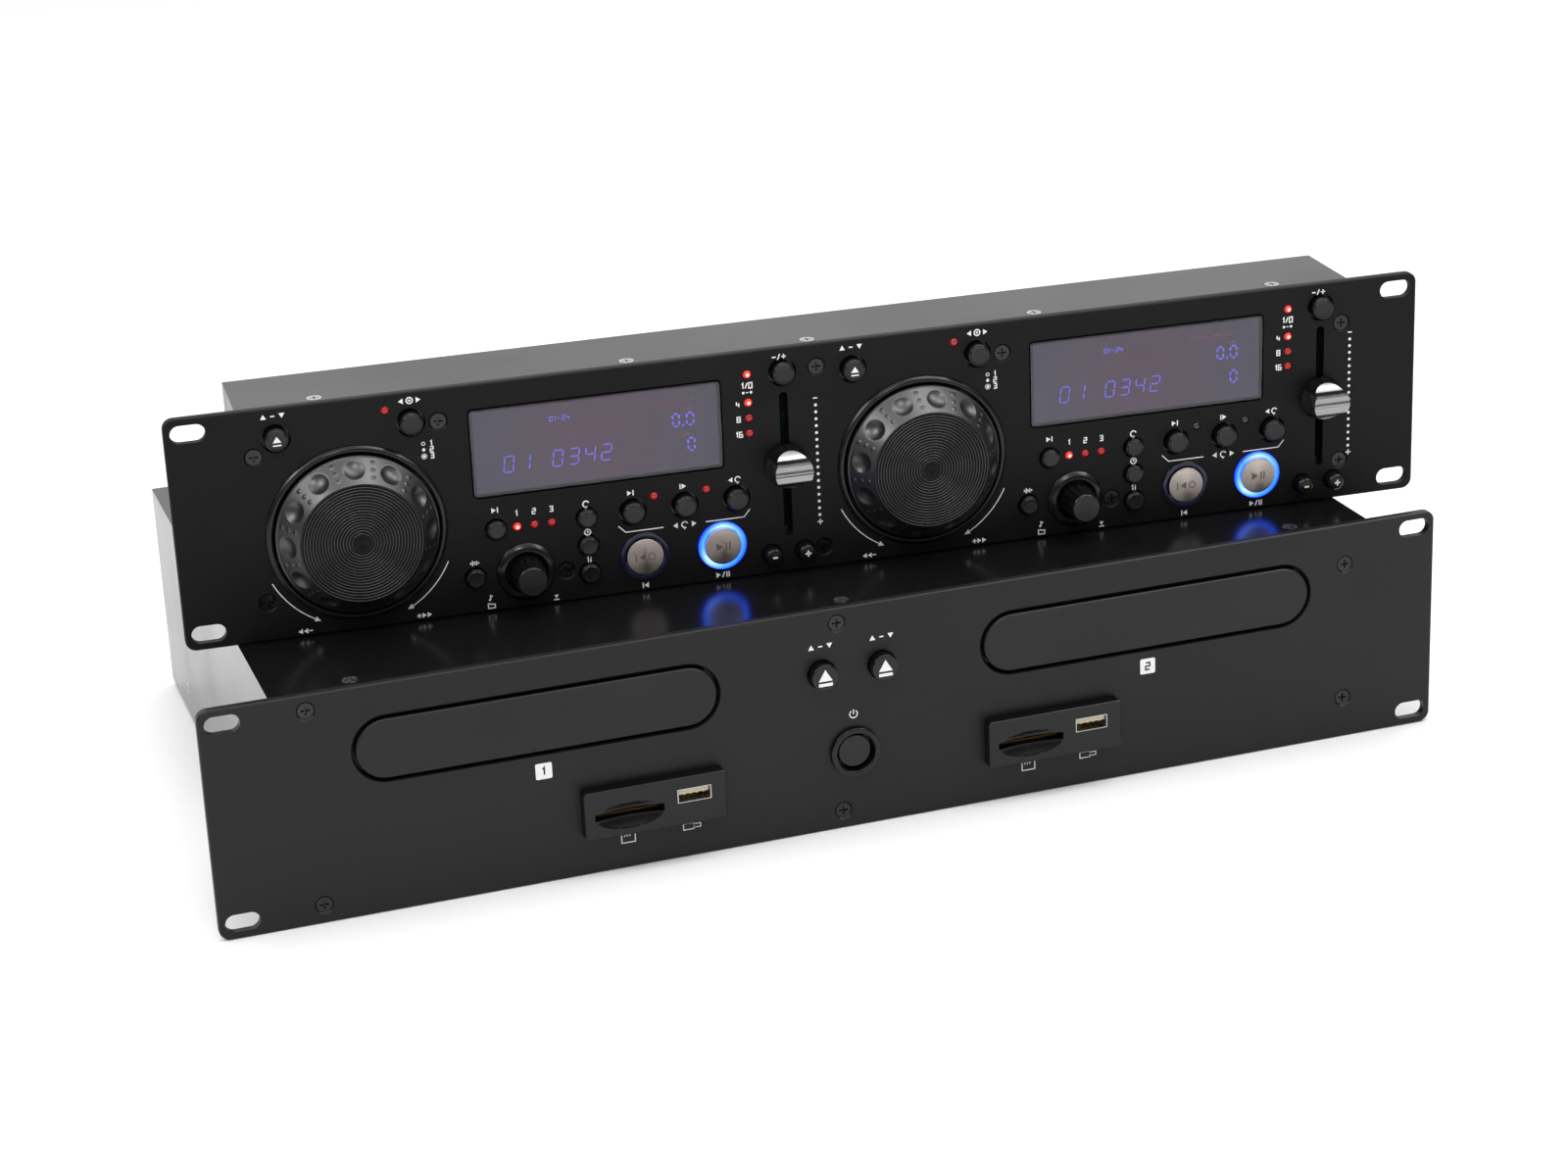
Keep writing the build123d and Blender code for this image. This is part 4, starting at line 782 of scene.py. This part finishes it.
def rounded_plate(bm, x, z, wide, high, corner, front, back, edge, frame_wide=0.0):
    """A plate with rounded corners and an eased front edge, closed all round. All but the part of
    its front inside a frame of a given width has the second finish."""
    rows = []
    for inset, out in ((edge + frame_wide, front), (edge, front), (edge * 0.3, front - edge * 0.3),
                       (0, front - edge), (0, -back))[0 if frame_wide else 1:]:
        points = []
        for quarter, (sx, sz) in enumerate(((1, 1), (-1, 1), (-1, -1), (1, -1))):
            middle = (x + sx * (wide / 2 - corner), z + sz * (high / 2 - corner))
            points += arc(*middle, corner - inset, quarter * 90, 90, 8)
        rows.append([bm.verts.new((px, -out, pz)) for px, pz in points])
    bm.faces.new(rows[0])
    bm.faces.new(list(reversed(rows[-1])))
    for a, b in zip(rows, rows[1:]):
        for i in range(len(a)):
            after = (i + 1) % len(a)
            bm.faces.new((a[i], b[i], b[after], a[after])).material_index = 1 if frame_wide else 0


face_out = -1.2
for number, deck in enumerate(decks, start=1):
    x = deck + window_x
    bm = bmesh.new()
    rounded_plate(bm, x, window_z, window_wide - 1.2, window_high - 1.2, 1.4, 0.5, 1.0, 0.35)
    outward(bm)
    make(f"display_window_{number}", bm, control, [smoked], "control_unit",
         ["display_windows"] if number == 1 else (), 10)
    bm = bmesh.new()
    rounded_plate(bm, x, window_z, window_wide - 0.2, window_high - 0.2, 1.9, face_out, 2.4, 0.1, 1.6)
    outward(bm)
    haze = glowing(f"display grid {number}, violet haze", (0.115, 0.062, 0.096), (0.075, 0.078, 0.105), 52,
                   control @ Vector((x, 0, window_z)))
    make(f"display_grid_{number}", bm, control, [haze, gasket], "control_unit", sharp=10)

    lit, dull, dark = bmesh.new(), bmesh.new(), bmesh.new()
    out = face_out + print_high
    for place_in_row, figure in enumerate("01 0342"):
        if figure != " ":
            numeral(lit, figure, deck + 55.4 + 6.1 * place_in_row, 8.9, 3.5, 6.0, out, 0.42, 0.14)
    numeral(lit, "0", deck + 119.7, 18.5, 2.5, 4.7, out, 0.62)
    numeral(lit, "0", deck + 125.1, 18.5, 2.5, 4.7, out, 0.62)
    patch(lit, soft_square(deck + 123.6, 18.6, 0.7, 0.1), out)
    numeral(lit, "0", deck + 125.1, 8.6, 2.5, 4.7, out, 0.62)
    label(lit, "0 1 minus 2 4", deck + 77.4, 27.2, 1.7, out, 0.4, 0.16)
    stroke(dull, [(deck + 108.8, 30.0), (deck + 108.8, 28.1), (deck + 127.6, 28.1), (deck + 127.6, 30.0)],
           0.3, out)
    stroke(dull, [(deck + 123.8, 24.8), (deck + 127.8, 24.8)], 0.7, out)
    stroke(dull, [(deck + 122.8, 14.9), (deck + 126.4, 14.9)], 0.7, out)
    for step in range(7):
        numeral(dark, "8", deck + 66.5 + 6.4 * step, 18.8, 3.4, 6.2, out, 0.5, 0.06)
    for part, bm, material in (("figures", lit, segment_blue), ("signs", dull, segment_red),
                               ("unlit", dark, unlit_segment_painted_glow)):
        make_print(f"display_{part}_{number}", bm, control, material, "control_unit")

# ---------------------------------------------------------------- indicator LEDs
# Round 3 mm LEDs in clear red epoxy, their domes just out of the panel. A lit one has a pale core.
led_core = glowing("LED die, lit", (3.0, 1.3, 1.15), (3.4, 1.6, 1.4), 1)
led_red = skin("LED epoxy, lit red", "#c02018", (0.1, 0.2, 1), IOR=1.52,
               Emission_Color=[1.0, 0.03, 0.02, 1.0], Emission_Strength=1.0)
led_dim = skin("LED epoxy, dim red", "#7a1410", (0.06, 0.14, 1), IOR=1.52,
               Emission_Color=[0.6, 0.015, 0.012, 1.0], Emission_Strength=0.3)
led_off = skin("LED epoxy, unlit", "#2b2626", (0.08, 0.2, 1), IOR=1.52)

led_places = {"jog": (13.8, 38.1), "disc": (58.9, -12.4), "plug": (65.4, -12.4), "card": (71.9, -12.4),
              "in": (110.9, -7.3), "out": (131.0, -7.3), "pitch": (148.6, 35.2), "four": (148.6, 24.3),
              "eight": (148.6, 18.3), "sixteen": (148.6, 12.4)}
led_states = ({"disc": 0, "pitch": 0, "four": 0}, {"disc": 0, "pitch": 0, "four": 0, "in": 2, "out": 2})
for number, deck in enumerate(decks, start=1):
    bm = bmesh.new()
    for name, (x, z) in led_places.items():
        dome = eased([(0, 0.62), (0.7, 0.6, 0.5), (1.25, 0.3, 0.4), (1.5, -0.4, 0.3), (1.5, -3.0), (0, -3.0)])
        state = led_states[number - 1].get(name, 1)
        turned(bm, deck + x, z, dome[:4], 3 if state == 0 else state, 24)
        turned(bm, deck + x, z, dome[3:], state, 24)
    bmesh.ops.remove_doubles(bm, verts=bm.verts, dist=0.001)
    make(f"leds_{number}", bm, control, [led_red, led_dim, led_off, led_core], "control_unit",
         ["indicator_leds"] if number == 1 else ())

# ---------------------------------------------------------------- rings round the wheels and keys
# Gloss mouldings line the openings of the jog wheels and knobs. The cue and play keys sit in clear
# acrylic rings that LEDs behind the panel light up, blue while a deck plays.
jog_z, lower_row, knob_x = -6.7, -30.1, 61.0
ring_acrylic, tree, shader = finish("edge-lit acrylic, blue", Base_Color=linear("#0b2a7a"), Roughness=0.2,
                                    IOR=1.49,
                                    Emission_Strength=1.0)
place = add(tree, "TexCoord")
round_ring = add(tree, "SeparateXYZ", {}, {"Vector": place.outputs["UV"]})
glow = add(tree, "ValToRGB", {}, {"Fac": round_ring.outputs["X"]})
ring_glow = ((0.0, 0.35), (0.13, 0.6), (0.25, 1.0), (0.38, 0.45), (0.5, 0.5), (0.62, 1.0), (0.75, 0.5),
             (0.88, 0.3), (1.0, 0.35))
for turn_at, level in ring_glow[1:-1]:
    glow.color_ramp.elements.new(turn_at)
for stop, (turn_at, level) in zip(glow.color_ramp.elements, ring_glow):
    stop.color = [0.01 + 0.5 * level ** 2.5, 0.12 + 0.8 * level ** 1.5, 2.4 + 2.4 * level, 1.0]
# The light comes in at the ring's inner edge, and deepens to pure blue at its outer one.
across = add(tree, "ValToRGB", {}, {"Fac": round_ring.outputs["Y"]})
for stop, position, colour in zip(across.color_ramp.elements, (0.053, 0.069),
                                  ((1.5, 1.5, 1.1, 1.0), (0.08, 0.25, 0.6, 1.0))):
    stop.position, stop.color = position, colour
deepened = add(tree, "VectorMath", {"operation": "MULTIPLY"},
               {0: glow.outputs["Color"], 1: across.outputs["Color"]})
tree.links.new(deepened.outputs["Vector"], shader.inputs["Emission Color"])
# The cue ring is unlit, yet it is given a faint blue glow of its own: painted light.
unlit_ring_painted_glow = skin("acrylic, unlit", "#0e1018", (0.12, 0.26, 3), IOR=1.49, Emission_Color=linear("#141f55"),
                 Emission_Strength=0.12)

for number, deck in enumerate(decks, start=1):
    bm = bmesh.new()
    bezel = eased([(30.75, -3.0), (30.7, 1.0), (31.3, 1.6, 0.3), (32.3, 1.6, 0.5), (33.3, 0.4, 0.3),
                   (33.3, 0.0), (30.8, 0.0), (30.8, -3.0)])
    turned(bm, deck, jog_z, bezel + [bezel[0]], steps=160)
    surround = eased([(7.45, -3.0), (7.4, 1.4, 0.3), (8.2, 2.2, 0.5), (9.6, 1.9, 0.8), (11.15, 0.5, 0.3),
                      (11.15, 0.0), (7.5, 0.0), (7.5, -3.0)])
    turned(bm, deck + knob_x, lower_row, surround + [surround[0]], steps=96)
    make(f"linings_{number}", bm, control, [gloss_abs], "control_unit",
         ["trim_rings"] if number == 1 else ())
    for part, x, material in (("cue", 106.0, unlit_ring_painted_glow), ("play", 136.0, ring_acrylic)):
        bm = bmesh.new()
        turned(bm, deck + x, lower_row, ring_line(7.4, 9.3, 1.0, 4.25, 0.6), steps=96)
        make(f"{part}_ring_{number}", bm, control, [material], "control_unit")

# ---------------------------------------------------------------- jog wheels
# A wheel is moulded ABS: a sloped rim with twelve finger dimples and rows of pips, metallised a
# dark graphite, round a black disc with concentric grooves. It turns on a spindle on the board.
graphite = skin("graphite metallic lacquer", "#505051", (0.33, 0.4, 9), (0.12, 0.002), Metallic=0.95)
grooved_abs = skin("grooved ABS, black", "#040404", (0.23, 0.31, 8), IOR=1.53, Specular_IOR_Level=0.12)

# The ridges' crowns are coloured lighter and metal-like: a painted highlight along each ridge. They are turned,
# so the sheen gathers in fans.
crown_highlight_paint, tree, shader = finish("highlight_painted ABS crown", Base_Color=linear("#4e4e50"), Metallic=0.85,
                                    Anisotropic=0.8)
place = mottle(tree, shader, 0.24, 0.36, 6)
round_it = add(tree, "Tangent", {"direction_type": "UV_MAP"})
tree.links.new(round_it.outputs["Tangent"], shader.inputs["Tangent"])

disc_radius, disc_out = 22.4, 12.3
groove_start, groove_pitch, groove_count, highlight_half_wide = 3.6, 1.09, 17, 0.15
# Share of the pitch and depth of points across one groove, from the crown of one ridge to the next
groove_shape = ((0.0, 0.0), (0.09, 0.03), (0.16, 0.12), (0.26, 0.36), (0.5, 0.42), (0.74, 0.36),
                (0.84, 0.12), (0.91, 0.03))
slope_start, slope_end = (22.8, 11.5), (29.5, 2.3)
slope = Vector(slope_end) - Vector(slope_start)
slope_out = Vector((-slope.y, slope.x)).normalized() * (1 if -slope.y > 0 else -1)
dimple_ball, dimple_sink, dimple_count = 7.5, 6.145, 12


def with_dimples(phase):
    """Bends the rim's slope in at the dimples and out at the pips between them."""
    def bend(radius, out, angle):
        if not slope_start[0] <= radius <= slope_end[0]:
            return radius, out
        along = (radius - slope_start[0]) / slope.x
        pitch = 2 * pi / dimple_count
        off = (angle - radians(phase) + pitch / 2) % pitch - pitch / 2
        centre = (Vector(slope_start) + Vector(slope_end)) / 2 + slope_out * dimple_sink
        here = Vector((radius * cos(off), out, radius * sin(off)))
        ball = Vector((centre.x, centre.y, 0))
        inward = -Vector((slope_out.x * cos(off), slope_out.y, slope_out.x * sin(off)))
        gap = here - ball
        b = gap.dot(inward)
        c = gap.length_squared - dimple_ball ** 2
        deep = 0.0
        if b * b > c:
            deep = max(0.0, -b + (b * b - c) ** 0.5)
        deep = deep * deep / (deep + 0.06) if deep > 0 else 0.0
        off_pip = (angle - radians(phase)) % pitch - pitch / 2
        for at in (0.2, 0.5, 0.8):
            lean = 0.35 * (at - 0.5)
            away = ((along - at) * slope.length) ** 2 + ((off_pip) * radius - lean) ** 2
            deep -= 0.3 * max(0.0, 1 - away / 0.6) ** 0.5
        return radius - slope_out.x * deep, out - slope_out.y * deep
    return bend


for number, (deck, phase) in enumerate(zip(decks, (0.0, -9.5)), start=1):
    name = f"jog_wheel_{number}"
    face = [(0.0, disc_out - 0.1), (1.2, disc_out - 0.1), (1.5, disc_out), (1.7, disc_out),
            (2.0, disc_out - 0.1),
            (3.3, disc_out - 0.1)]
    for groove in range(groove_count):
        for share, deep in groove_shape:
            face.append((groove_start + (groove + share) * groove_pitch, disc_out - deep))
    face += [(disc_radius - 0.2, disc_out), (disc_radius, disc_out - 0.15)]
    rim = eased([(disc_radius, disc_out - 0.15), (slope_start[0] - 0.1, slope_start[1] + 0.1)])
    count = 40
    rim += [(slope_start[0] + slope.x * i / count,
             slope_start[1] + slope.y * i / count) for i in range(count + 1)]
    rim += eased([slope_end, (29.9, 2.2, 0.3), (29.9, -0.8), (27.9, -0.8), (20.4, 10.3), (0, 10.3)])[1:]
    bm = bmesh.new()
    radii = [(a[0] + b[0]) / 2 - groove_start for a, b in zip(face, face[1:])]
    # Slot 2 puts the painted highlight on a narrow strip along each ridge's crown.
    crown = [2 if at > 0 and min(at % groove_pitch, -at % groove_pitch) < highlight_half_wide else 0 for at in radii]
    turned(bm, deck, jog_z, face, 0, 192, slots=crown)
    turned(bm, deck, jog_z, rim, 1, 576, with_dimples(phase))
    make(f"jog_wheel_{number}_shell", bm, control, [grooved_abs, graphite, crown_highlight_paint], name, [name],
         40)

# ---------------------------------------------------------------- deck keys
# Fifteen keys a deck. Eleven are plain caps, eject and the two pitch-bend keys carry white marks,
# and cue and play have spun stainless faces with their sign etched dark.
deck_keys = {
    "eject_button": (-26.0, 32.5, "ringed"), "jog_mode_button": (22.8, 32.5, "ringed"),
    "pitch_button": (162.0, 34.5, "ringed"), "source_button": (50.9, -12.4, "small"),
    "bpm_button": (42.0, -30.1, "small"), "repeat_button": (85.0, -12.4, "small"),
    "time_button": (85.0, -23.15, "small"), "single_button": (85.0, -33.9, "small"),
    "loop_in_button": (102.5, -12.4, "ringed"), "loop_out_button": (122.4, -12.4, "ringed"),
    "reloop_button": (142.3, -12.4, "ringed"), "minus_button": (155.0, -36.1, "tall"),
    "plus_button": (167.9, -36.1, "tall"), "cue_button": (106.0, -30.1, "metal"),
    "play_button": (136.0, -30.1, "metal"),
}
# Kind: cap radius, how far it stands out, edge, hole radius, start of its flange, dish
key_kinds = {"ringed": (4.4, 3.2, 0.7, 5.4, 3.2, 0.18), "small": (3.8, 2.4, 0.7, 4.3, 3.2, 0.15),
             "tall": (3.5, 4.8, 1.5, 3.95, 3.2, -0.2), "metal": (7.05, 1.8, 0.3, 9.35, 4.4, 0.0)}

# Spinning leaves fine rings on the steel, so light gathers in two bright fans across the face.
spun_steel, tree, shader = finish("spun stainless steel", Base_Color=linear("#b3a8a1"), Metallic=1.0,
                                  Anisotropic=0.75)
place = add(tree, "TexCoord")
rings = add(tree, "Mapping", {"Scale": (6.0, 2200.0, 1.0)}, {"Vector": place.outputs["UV"]})
lines = add(tree, "TexNoise", {"Scale": 1.0, "Detail": 3.0}, {"Vector": rings.outputs["Vector"]})
spread = add(tree, "MapRange", {"From Min": 0.3, "From Max": 0.7, "To Min": 0.22, "To Max": 0.42},
             {"Value": lines.outputs["Fac"]})
tree.links.new(spread.outputs["Result"], shader.inputs["Roughness"])
round_it = add(tree, "Tangent", {"direction_type": "UV_MAP"})
tree.links.new(round_it.outputs["Tangent"], shader.inputs["Tangent"])
etched = skin("etched steel, dark", "#6f655f", (0.5, 0.65, 1), Metallic=0.6)

for number, deck in enumerate(decks, start=1):
    for key, (x, z, kind) in deck_keys.items():
        name = f"{key}_{number}"
        cap, stands, edge, hole, back, dish = key_kinds[kind]
        bm = bmesh.new()
        outline = stepped_line if kind in ("ringed", "small") else cap_line
        turned(bm, deck + x, z, outline(cap, stands, edge, hole, back, dish), steps=72)
        face = spun_steel if kind == "metal" else key_abs
        make(f"{name}_cap", bm, control, [face], name, [name])
        bm = bmesh.new()
        if key == "eject_button":
            eject_mark(bm, deck + x, z - 0.1, 3.0, 2.3, 0.5, 0.8, stands - dish * 0.6 + print_high)
        elif key == "minus_button":
            label(bm, "minus", deck + x, z, 2.6, stands + 0.3 + print_high, weight=0.26)
        elif key == "plus_button":
            label(bm, "plus", deck + x, z, 2.9, stands + 0.3 + print_high, weight=0.22)
        elif key == "cue_button":
            label(bm, "stop left ring", deck + x, z, 3.0, stands + print_high, weight=0.14)
        elif key == "play_button":
            label(bm, "right pause", deck + x, z, 3.2, stands + print_high, weight=0.16)
        if bm.faces:
            make_print(f"{name}_mark", bm, control, etched if kind == "metal" else white_ink, name)
        else:
            bm.free()

# ---------------------------------------------------------------- track knobs
# A tapered, fluted cap of black ABS, pushed on the encoder's steel shaft. It turns with clicks, and
# pushes in with the shaft.
shaft_steel = skin("ground steel", "#a8a9ab", (0.2, 0.35, 2), Metallic=1.0)
flute_count = 14


def fluted(radius, out, angle):
    """Presses the flutes into the knob's side."""
    if 1.8 < out < 12.0 and radius > 4:
        fade = min(1.0, (out - 1.8) / 1.2, (12.0 - out) / 0.8)
        return radius - 0.55 * fade * max(0.0, cos(flute_count * angle)) ** 3, out
    return radius, out


for number, deck in enumerate(decks, start=1):
    coat(f"encoder_shaft_{number}", shaft_steel)
    name = f"track_knob_{number}"
    side = [(5.6 + 1.1 * i / 16, 12.3 - 9.2 * i / 16) for i in range(17)]
    line = eased([(0, 12.85), (4.6, 12.95, 0.4), (5.2, 13.0, 0.4), (5.6, 12.3)]) + side[1:]
    line += [(6.7, 0.9), (3.05, 0.9), (3.05, 9.9), (0, 9.9)]
    bm = bmesh.new()
    turned(bm, deck + knob_x, lower_row, line, 0, 168, fluted)
    make(f"{name}_cap", bm, control, [key_abs], name, [name], 30)

# ---------------------------------------------------------------- pitch faders
# A round cap on a steel lever. It is moulded black with a metallised front, scooped above and below
# so that a ridged bar is left for the finger.
metallised = skin("vacuum-metallised ABS, satin silver", "#969697", (0.22, 0.34, 5), (0.25, 0.002),
                  Metallic=1.0)
fader_x, fader_z = 162.0, -1.5
cap_front, cap_foot, front_radius, foot_radius = 12.6, 2.0, 7.3, 8.5
bar_half, scoop_radius, scoop_lift = 3.6, 9.0, 1.5
ridge_high, ridge_half = 0.35, 0.9
lever_half, lever_high, lever_reach = 0.6, 2.5, (-3.0, 11.0)


def fader_front(z):
    """How far the cap's front stands out at a height z off its middle."""
    rise = abs(z)
    if rise <= bar_half:
        ridge = ridge_high * max(0.0, 1 - (rise / ridge_half) ** 2)
        return cap_front - ridge_high + ridge - 0.25 * max(0.0, rise - bar_half + 0.5)
    reach = (scoop_radius ** 2 - scoop_lift ** 2) ** 0.5
    axis = bar_half + reach
    drop = max(0.0, scoop_radius ** 2 - (rise - axis) ** 2) ** 0.5 - scoop_lift
    return cap_front - ridge_high - max(0.0, drop)


for number, deck in enumerate(decks, start=1):
    name = f"pitch_fader_{number}"
    bm = bmesh.new()
    rows, columns = 72, 24
    grid = []
    for i in range(rows + 1):
        z = -front_radius * cos(pi * i / rows)
        half = max(front_radius ** 2 - z * z, 0.0004) ** 0.5
        grid.append([(half * -cos(pi * j / columns), z) for j in range(columns + 1)])
    top = [[bm.verts.new((deck + fader_x + x, -fader_front(z), fader_z + z)) for x, z in row] for row in grid]
    for a, b in zip(top, top[1:]):
        for j in range(columns):
            bm.faces.new((a[j], a[j + 1], b[j + 1], b[j]))
    bmesh.ops.remove_doubles(bm, verts=bm.verts, dist=0.03)
    edge = [e for e in bm.edges if e.is_boundary]
    down = bmesh.ops.extrude_edge_only(bm, edges=edge)["geom"]
    for vert in [v for v in down if isinstance(v, bmesh.types.BMVert)]:
        x, z = vert.co.x - deck - fader_x, vert.co.z - fader_z
        grow = foot_radius / max(1e-6, (x * x + z * z) ** 0.5)
        vert.co = (deck + fader_x + x * grow, -cap_foot, fader_z + z * grow)
    foot = [e for e in bm.edges if e.is_boundary]
    bmesh.ops.contextual_create(bm, geom=foot)
    outward(bm)
    for face in bm.faces:
        middle = face.calc_center_median()
        side = abs(face.normal.y) < 0.5 and abs(middle.z - fader_z) > bar_half + 0.2
        face.material_index = 1 if (face.normal.y > 0.5 or side) else 0
    bar(bm, (deck + fader_x - lever_half, deck + fader_x + lever_half), lever_reach,
        (fader_z - lever_high, fader_z + lever_high), 2)
    make(f"{name}_cap", bm, control, [metallised, gloss_abs, shaft_steel], name, [name], 38)

# Two lips of black felt behind each slot keep dust out, and meet round the lever.
felt = skin("pressed felt, black", "#060606", (0.88, 1.0, 1), (0.5, 0.1, 4.0), IOR=1.5,
            Specular_IOR_Level=0.1)
lip_start, lip_end, lip_deep, lip_span = 0.65, 4.5, (3.1, 3.6), (-28.0, 25.0)
bm = bmesh.new()
for deck in decks:
    for side in (-1, 1):
        near, far = sorted((deck + fader_x + side * lip_start, deck + fader_x + side * lip_end))
        bar(bm, (near, far), lip_deep, lip_span)
outward(bm)
make("fader_dust_lips", bm, control, [felt], "control_unit", sharp=25)

# ---------------------------------------------------------------- control panel's marks
# The same white ink. Numerals scale the pitch range, dots scale the fader, arcs show which way the
# wheel turns, and plain symbols stand by the keys.
wheel_arc, wheel_sweep = 35.9, 37.9
# Names, place off the wheel's axis, height and gap
deck_labels = (
    ("up minus down", -26.5, 41.0, 2.15, 0.7), ("left wheel right", 22.9, 40.8, 2.15, 0.5),
    ("minus slash plus", 161.0, 40.6, 2.15, 0.3), ("1", 29.6, 23.9, 1.85, 0.3),
    ("2", 29.6, 21.6, 1.85, 0.3), ("3", 29.6, 19.1, 1.85, 0.3), ("4", 144.6, 24.1, 1.95, 0.3),
    ("8", 144.6, 18.2, 1.95, 0.3), ("1 6", 144.6, 12.3, 1.95, 0.3), ("1 slash 0", 148.3, 31.0, 2.05, 0.3),
    ("dot minus dot", 148.3, 28.3, 1.4, 0.3), ("right stop", 50.9, -4.9, 2.05, 0.2),
    ("1", 58.9, -7.1, 1.95, 0.3), ("2", 65.4, -7.1, 1.95, 0.3), ("3", 71.9, -7.1, 1.95, 0.3),
    ("loop", 85.0, -7.0, 2.25, 0.3), ("clock", 85.0, -18.0, 2.25, 0.3), ("1 stop", 85.0, -28.8, 2.05, 0.3),
    ("right stop", 102.0, -4.9, 2.05, 0.2), ("stop right", 122.0, -4.9, 2.05, 0.2),
    ("left loop", 142.0, -4.9, 2.05, 0.3), ("left loop right", 122.0, -20.0, 2.25, 0.5),
    ("stop left", 105.8, -41.9, 2.15, 0.1), ("right slash pause", 135.7, -41.8, 2.15, 0.3),
    ("beats", 42.0, -24.4, 2.05, 0.3), ("note", 47.0, -38.8, 2.15, 0.3), ("sleeve", 47.2, -41.9, 1.95, 0.3),
    ("press", 71.7, -41.9, 2.05, 0.3), ("left left minus", -22.0, -42.0, 2.05, 0.15),
    ("plus right right", 22.0, -42.0, 2.05, 0.15),
)
bm = bmesh.new()
for deck in decks:
    for names, x, z, high, gap in deck_labels:
        label(bm, names, deck + x, z, high, gap=gap)
    stroke(bm, arc(deck + 26.7, 23.9, 0.6, steps=16), 0.25, print_high, True)
    stroke(bm, arc(deck + 26.7, 19.1, 0.95, steps=16), 0.2, print_high, True)
    patch(bm, arc(deck + 26.7, 21.6, 0.6, steps=16), print_high)
    patch(bm, arc(deck + 26.7, 19.1, 0.55, steps=16), print_high)
    stroke(bm, [(deck + 96.7, -17.3), (deck + 99.4, -20.0), (deck + 113.8, -20.0)], 0.4, print_high)
    stroke(bm, [(deck + 130.1, -20.0), (deck + 144.9, -20.0), (deck + 147.2, -17.3)], 0.4, print_high)
    for start, sweep in ((205.5, wheel_sweep), (-25.5, -wheel_sweep)):
        points = arc(deck, jog_z, wheel_arc, start, sweep, 20)
        stroke(bm, points[:-1], 0.35, print_high)
        ahead = (points[-1][0] - points[-3][0], points[-1][1] - points[-3][1])
        patch(bm, arrow_head(points[-1], ahead, 2.2, 2.0), print_high)
    for step in range(17):
        patch(bm, arc(deck + 174.3, 20.3 - 2.71 * step, 0.58, steps=12), print_high)
    label(bm, "minus", deck + 174.3, 23.05, 2.4, weight=0.18)
    label(bm, "plus", deck + 174.4, -25.8, 2.6, weight=0.16)
make_print("control_marks", bm, control, white_ink, "control_unit")

# ---------------------------------------------------------------- room and camera
# A white floor that runs on behind the object, a sky that is bright overhead and dim all round, and
# four softboxes: one long one overhead, one on each side, and one high in front.
floor_white = skin("studio floor, white", "#dedede", (0.65, 0.75, 400), IOR=1.45)
bm = bmesh.new()
bmesh.ops.create_grid(bm, x_segments=8, y_segments=8, size=30.0)
mesh = bpy.data.meshes.new("floor")
bm.to_mesh(mesh)
bm.free()
mesh.materials.append(floor_white)
floor = bpy.data.objects.new("floor", mesh)
bpy.context.scene.collection.objects.link(floor)

scene = bpy.context.scene
world = bpy.data.worlds.new("white room")
scene.world = world
world.use_nodes = True
sky = world.node_tree
place = add(sky, "TexCoord")
toward = add(sky, "VectorMath", {"operation": "DOT_PRODUCT", 1: (0.0, 0.34, 0.94)},
             {0: place.outputs["Generated"]})
fade = add(sky, "ValToRGB", {}, {"Fac": toward.outputs["Value"]})
for stop, position, level in zip(fade.color_ramp.elements, (0.1, 0.85), (0.2, 1.6)):
    stop.position, stop.color = position, (level, level, level, 1.0)
sky.links.new(fade.outputs["Color"], sky.nodes["Background"].inputs["Color"])


def softbox(name, at, aim, wide, high, watts):
    """A rectangular soft light at a point, turned to another."""
    lamp = bpy.data.lights.new(name, "AREA")
    lamp.shape = "RECTANGLE"
    lamp.size, lamp.size_y, lamp.energy = wide, high, watts
    light = bpy.data.objects.new(name, lamp)
    light.location = at
    light.rotation_euler = (Vector(aim) - Vector(at)).to_track_quat("-Z", "Y").to_euler()
    scene.collection.objects.link(light)


softbox("overhead softbox", (0.1, 0.1, 1.3), (0.0, 0.0, 0.1), 1.5, 0.3, 8)
softbox("left softbox", (-1.1, -0.25, 1.1), (0.0, 0.0, 0.1), 0.5, 0.5, 6)
softbox("right softbox", (0.9, -0.45, 1.1), (0.0, 0.0, 0.1), 0.5, 0.5, 5)
softbox("front softbox", (-0.5, -1.5, 2.0), (0.0, 0.0, 0.1), 0.6, 0.4, 14)

camera_data = bpy.data.cameras.new("camera")
camera_data.sensor_width = 36.0
camera_data.lens = 78.75
camera = bpy.data.objects.new("camera", camera_data)
right = Vector((0.94415, -0.32691, -0.04132)).normalized()
forward = Vector((0.29221, 0.88861, -0.35353)).normalized()
up = right.cross(forward).normalized()
turn = Matrix((right, up, -forward)).transposed().to_4x4()
camera.matrix_world = Matrix.Translation((-0.3891, -1.2344, 0.5401)) @ turn
scene.collection.objects.link(camera)
scene.camera = camera
scene.view_settings.view_transform = "Standard"
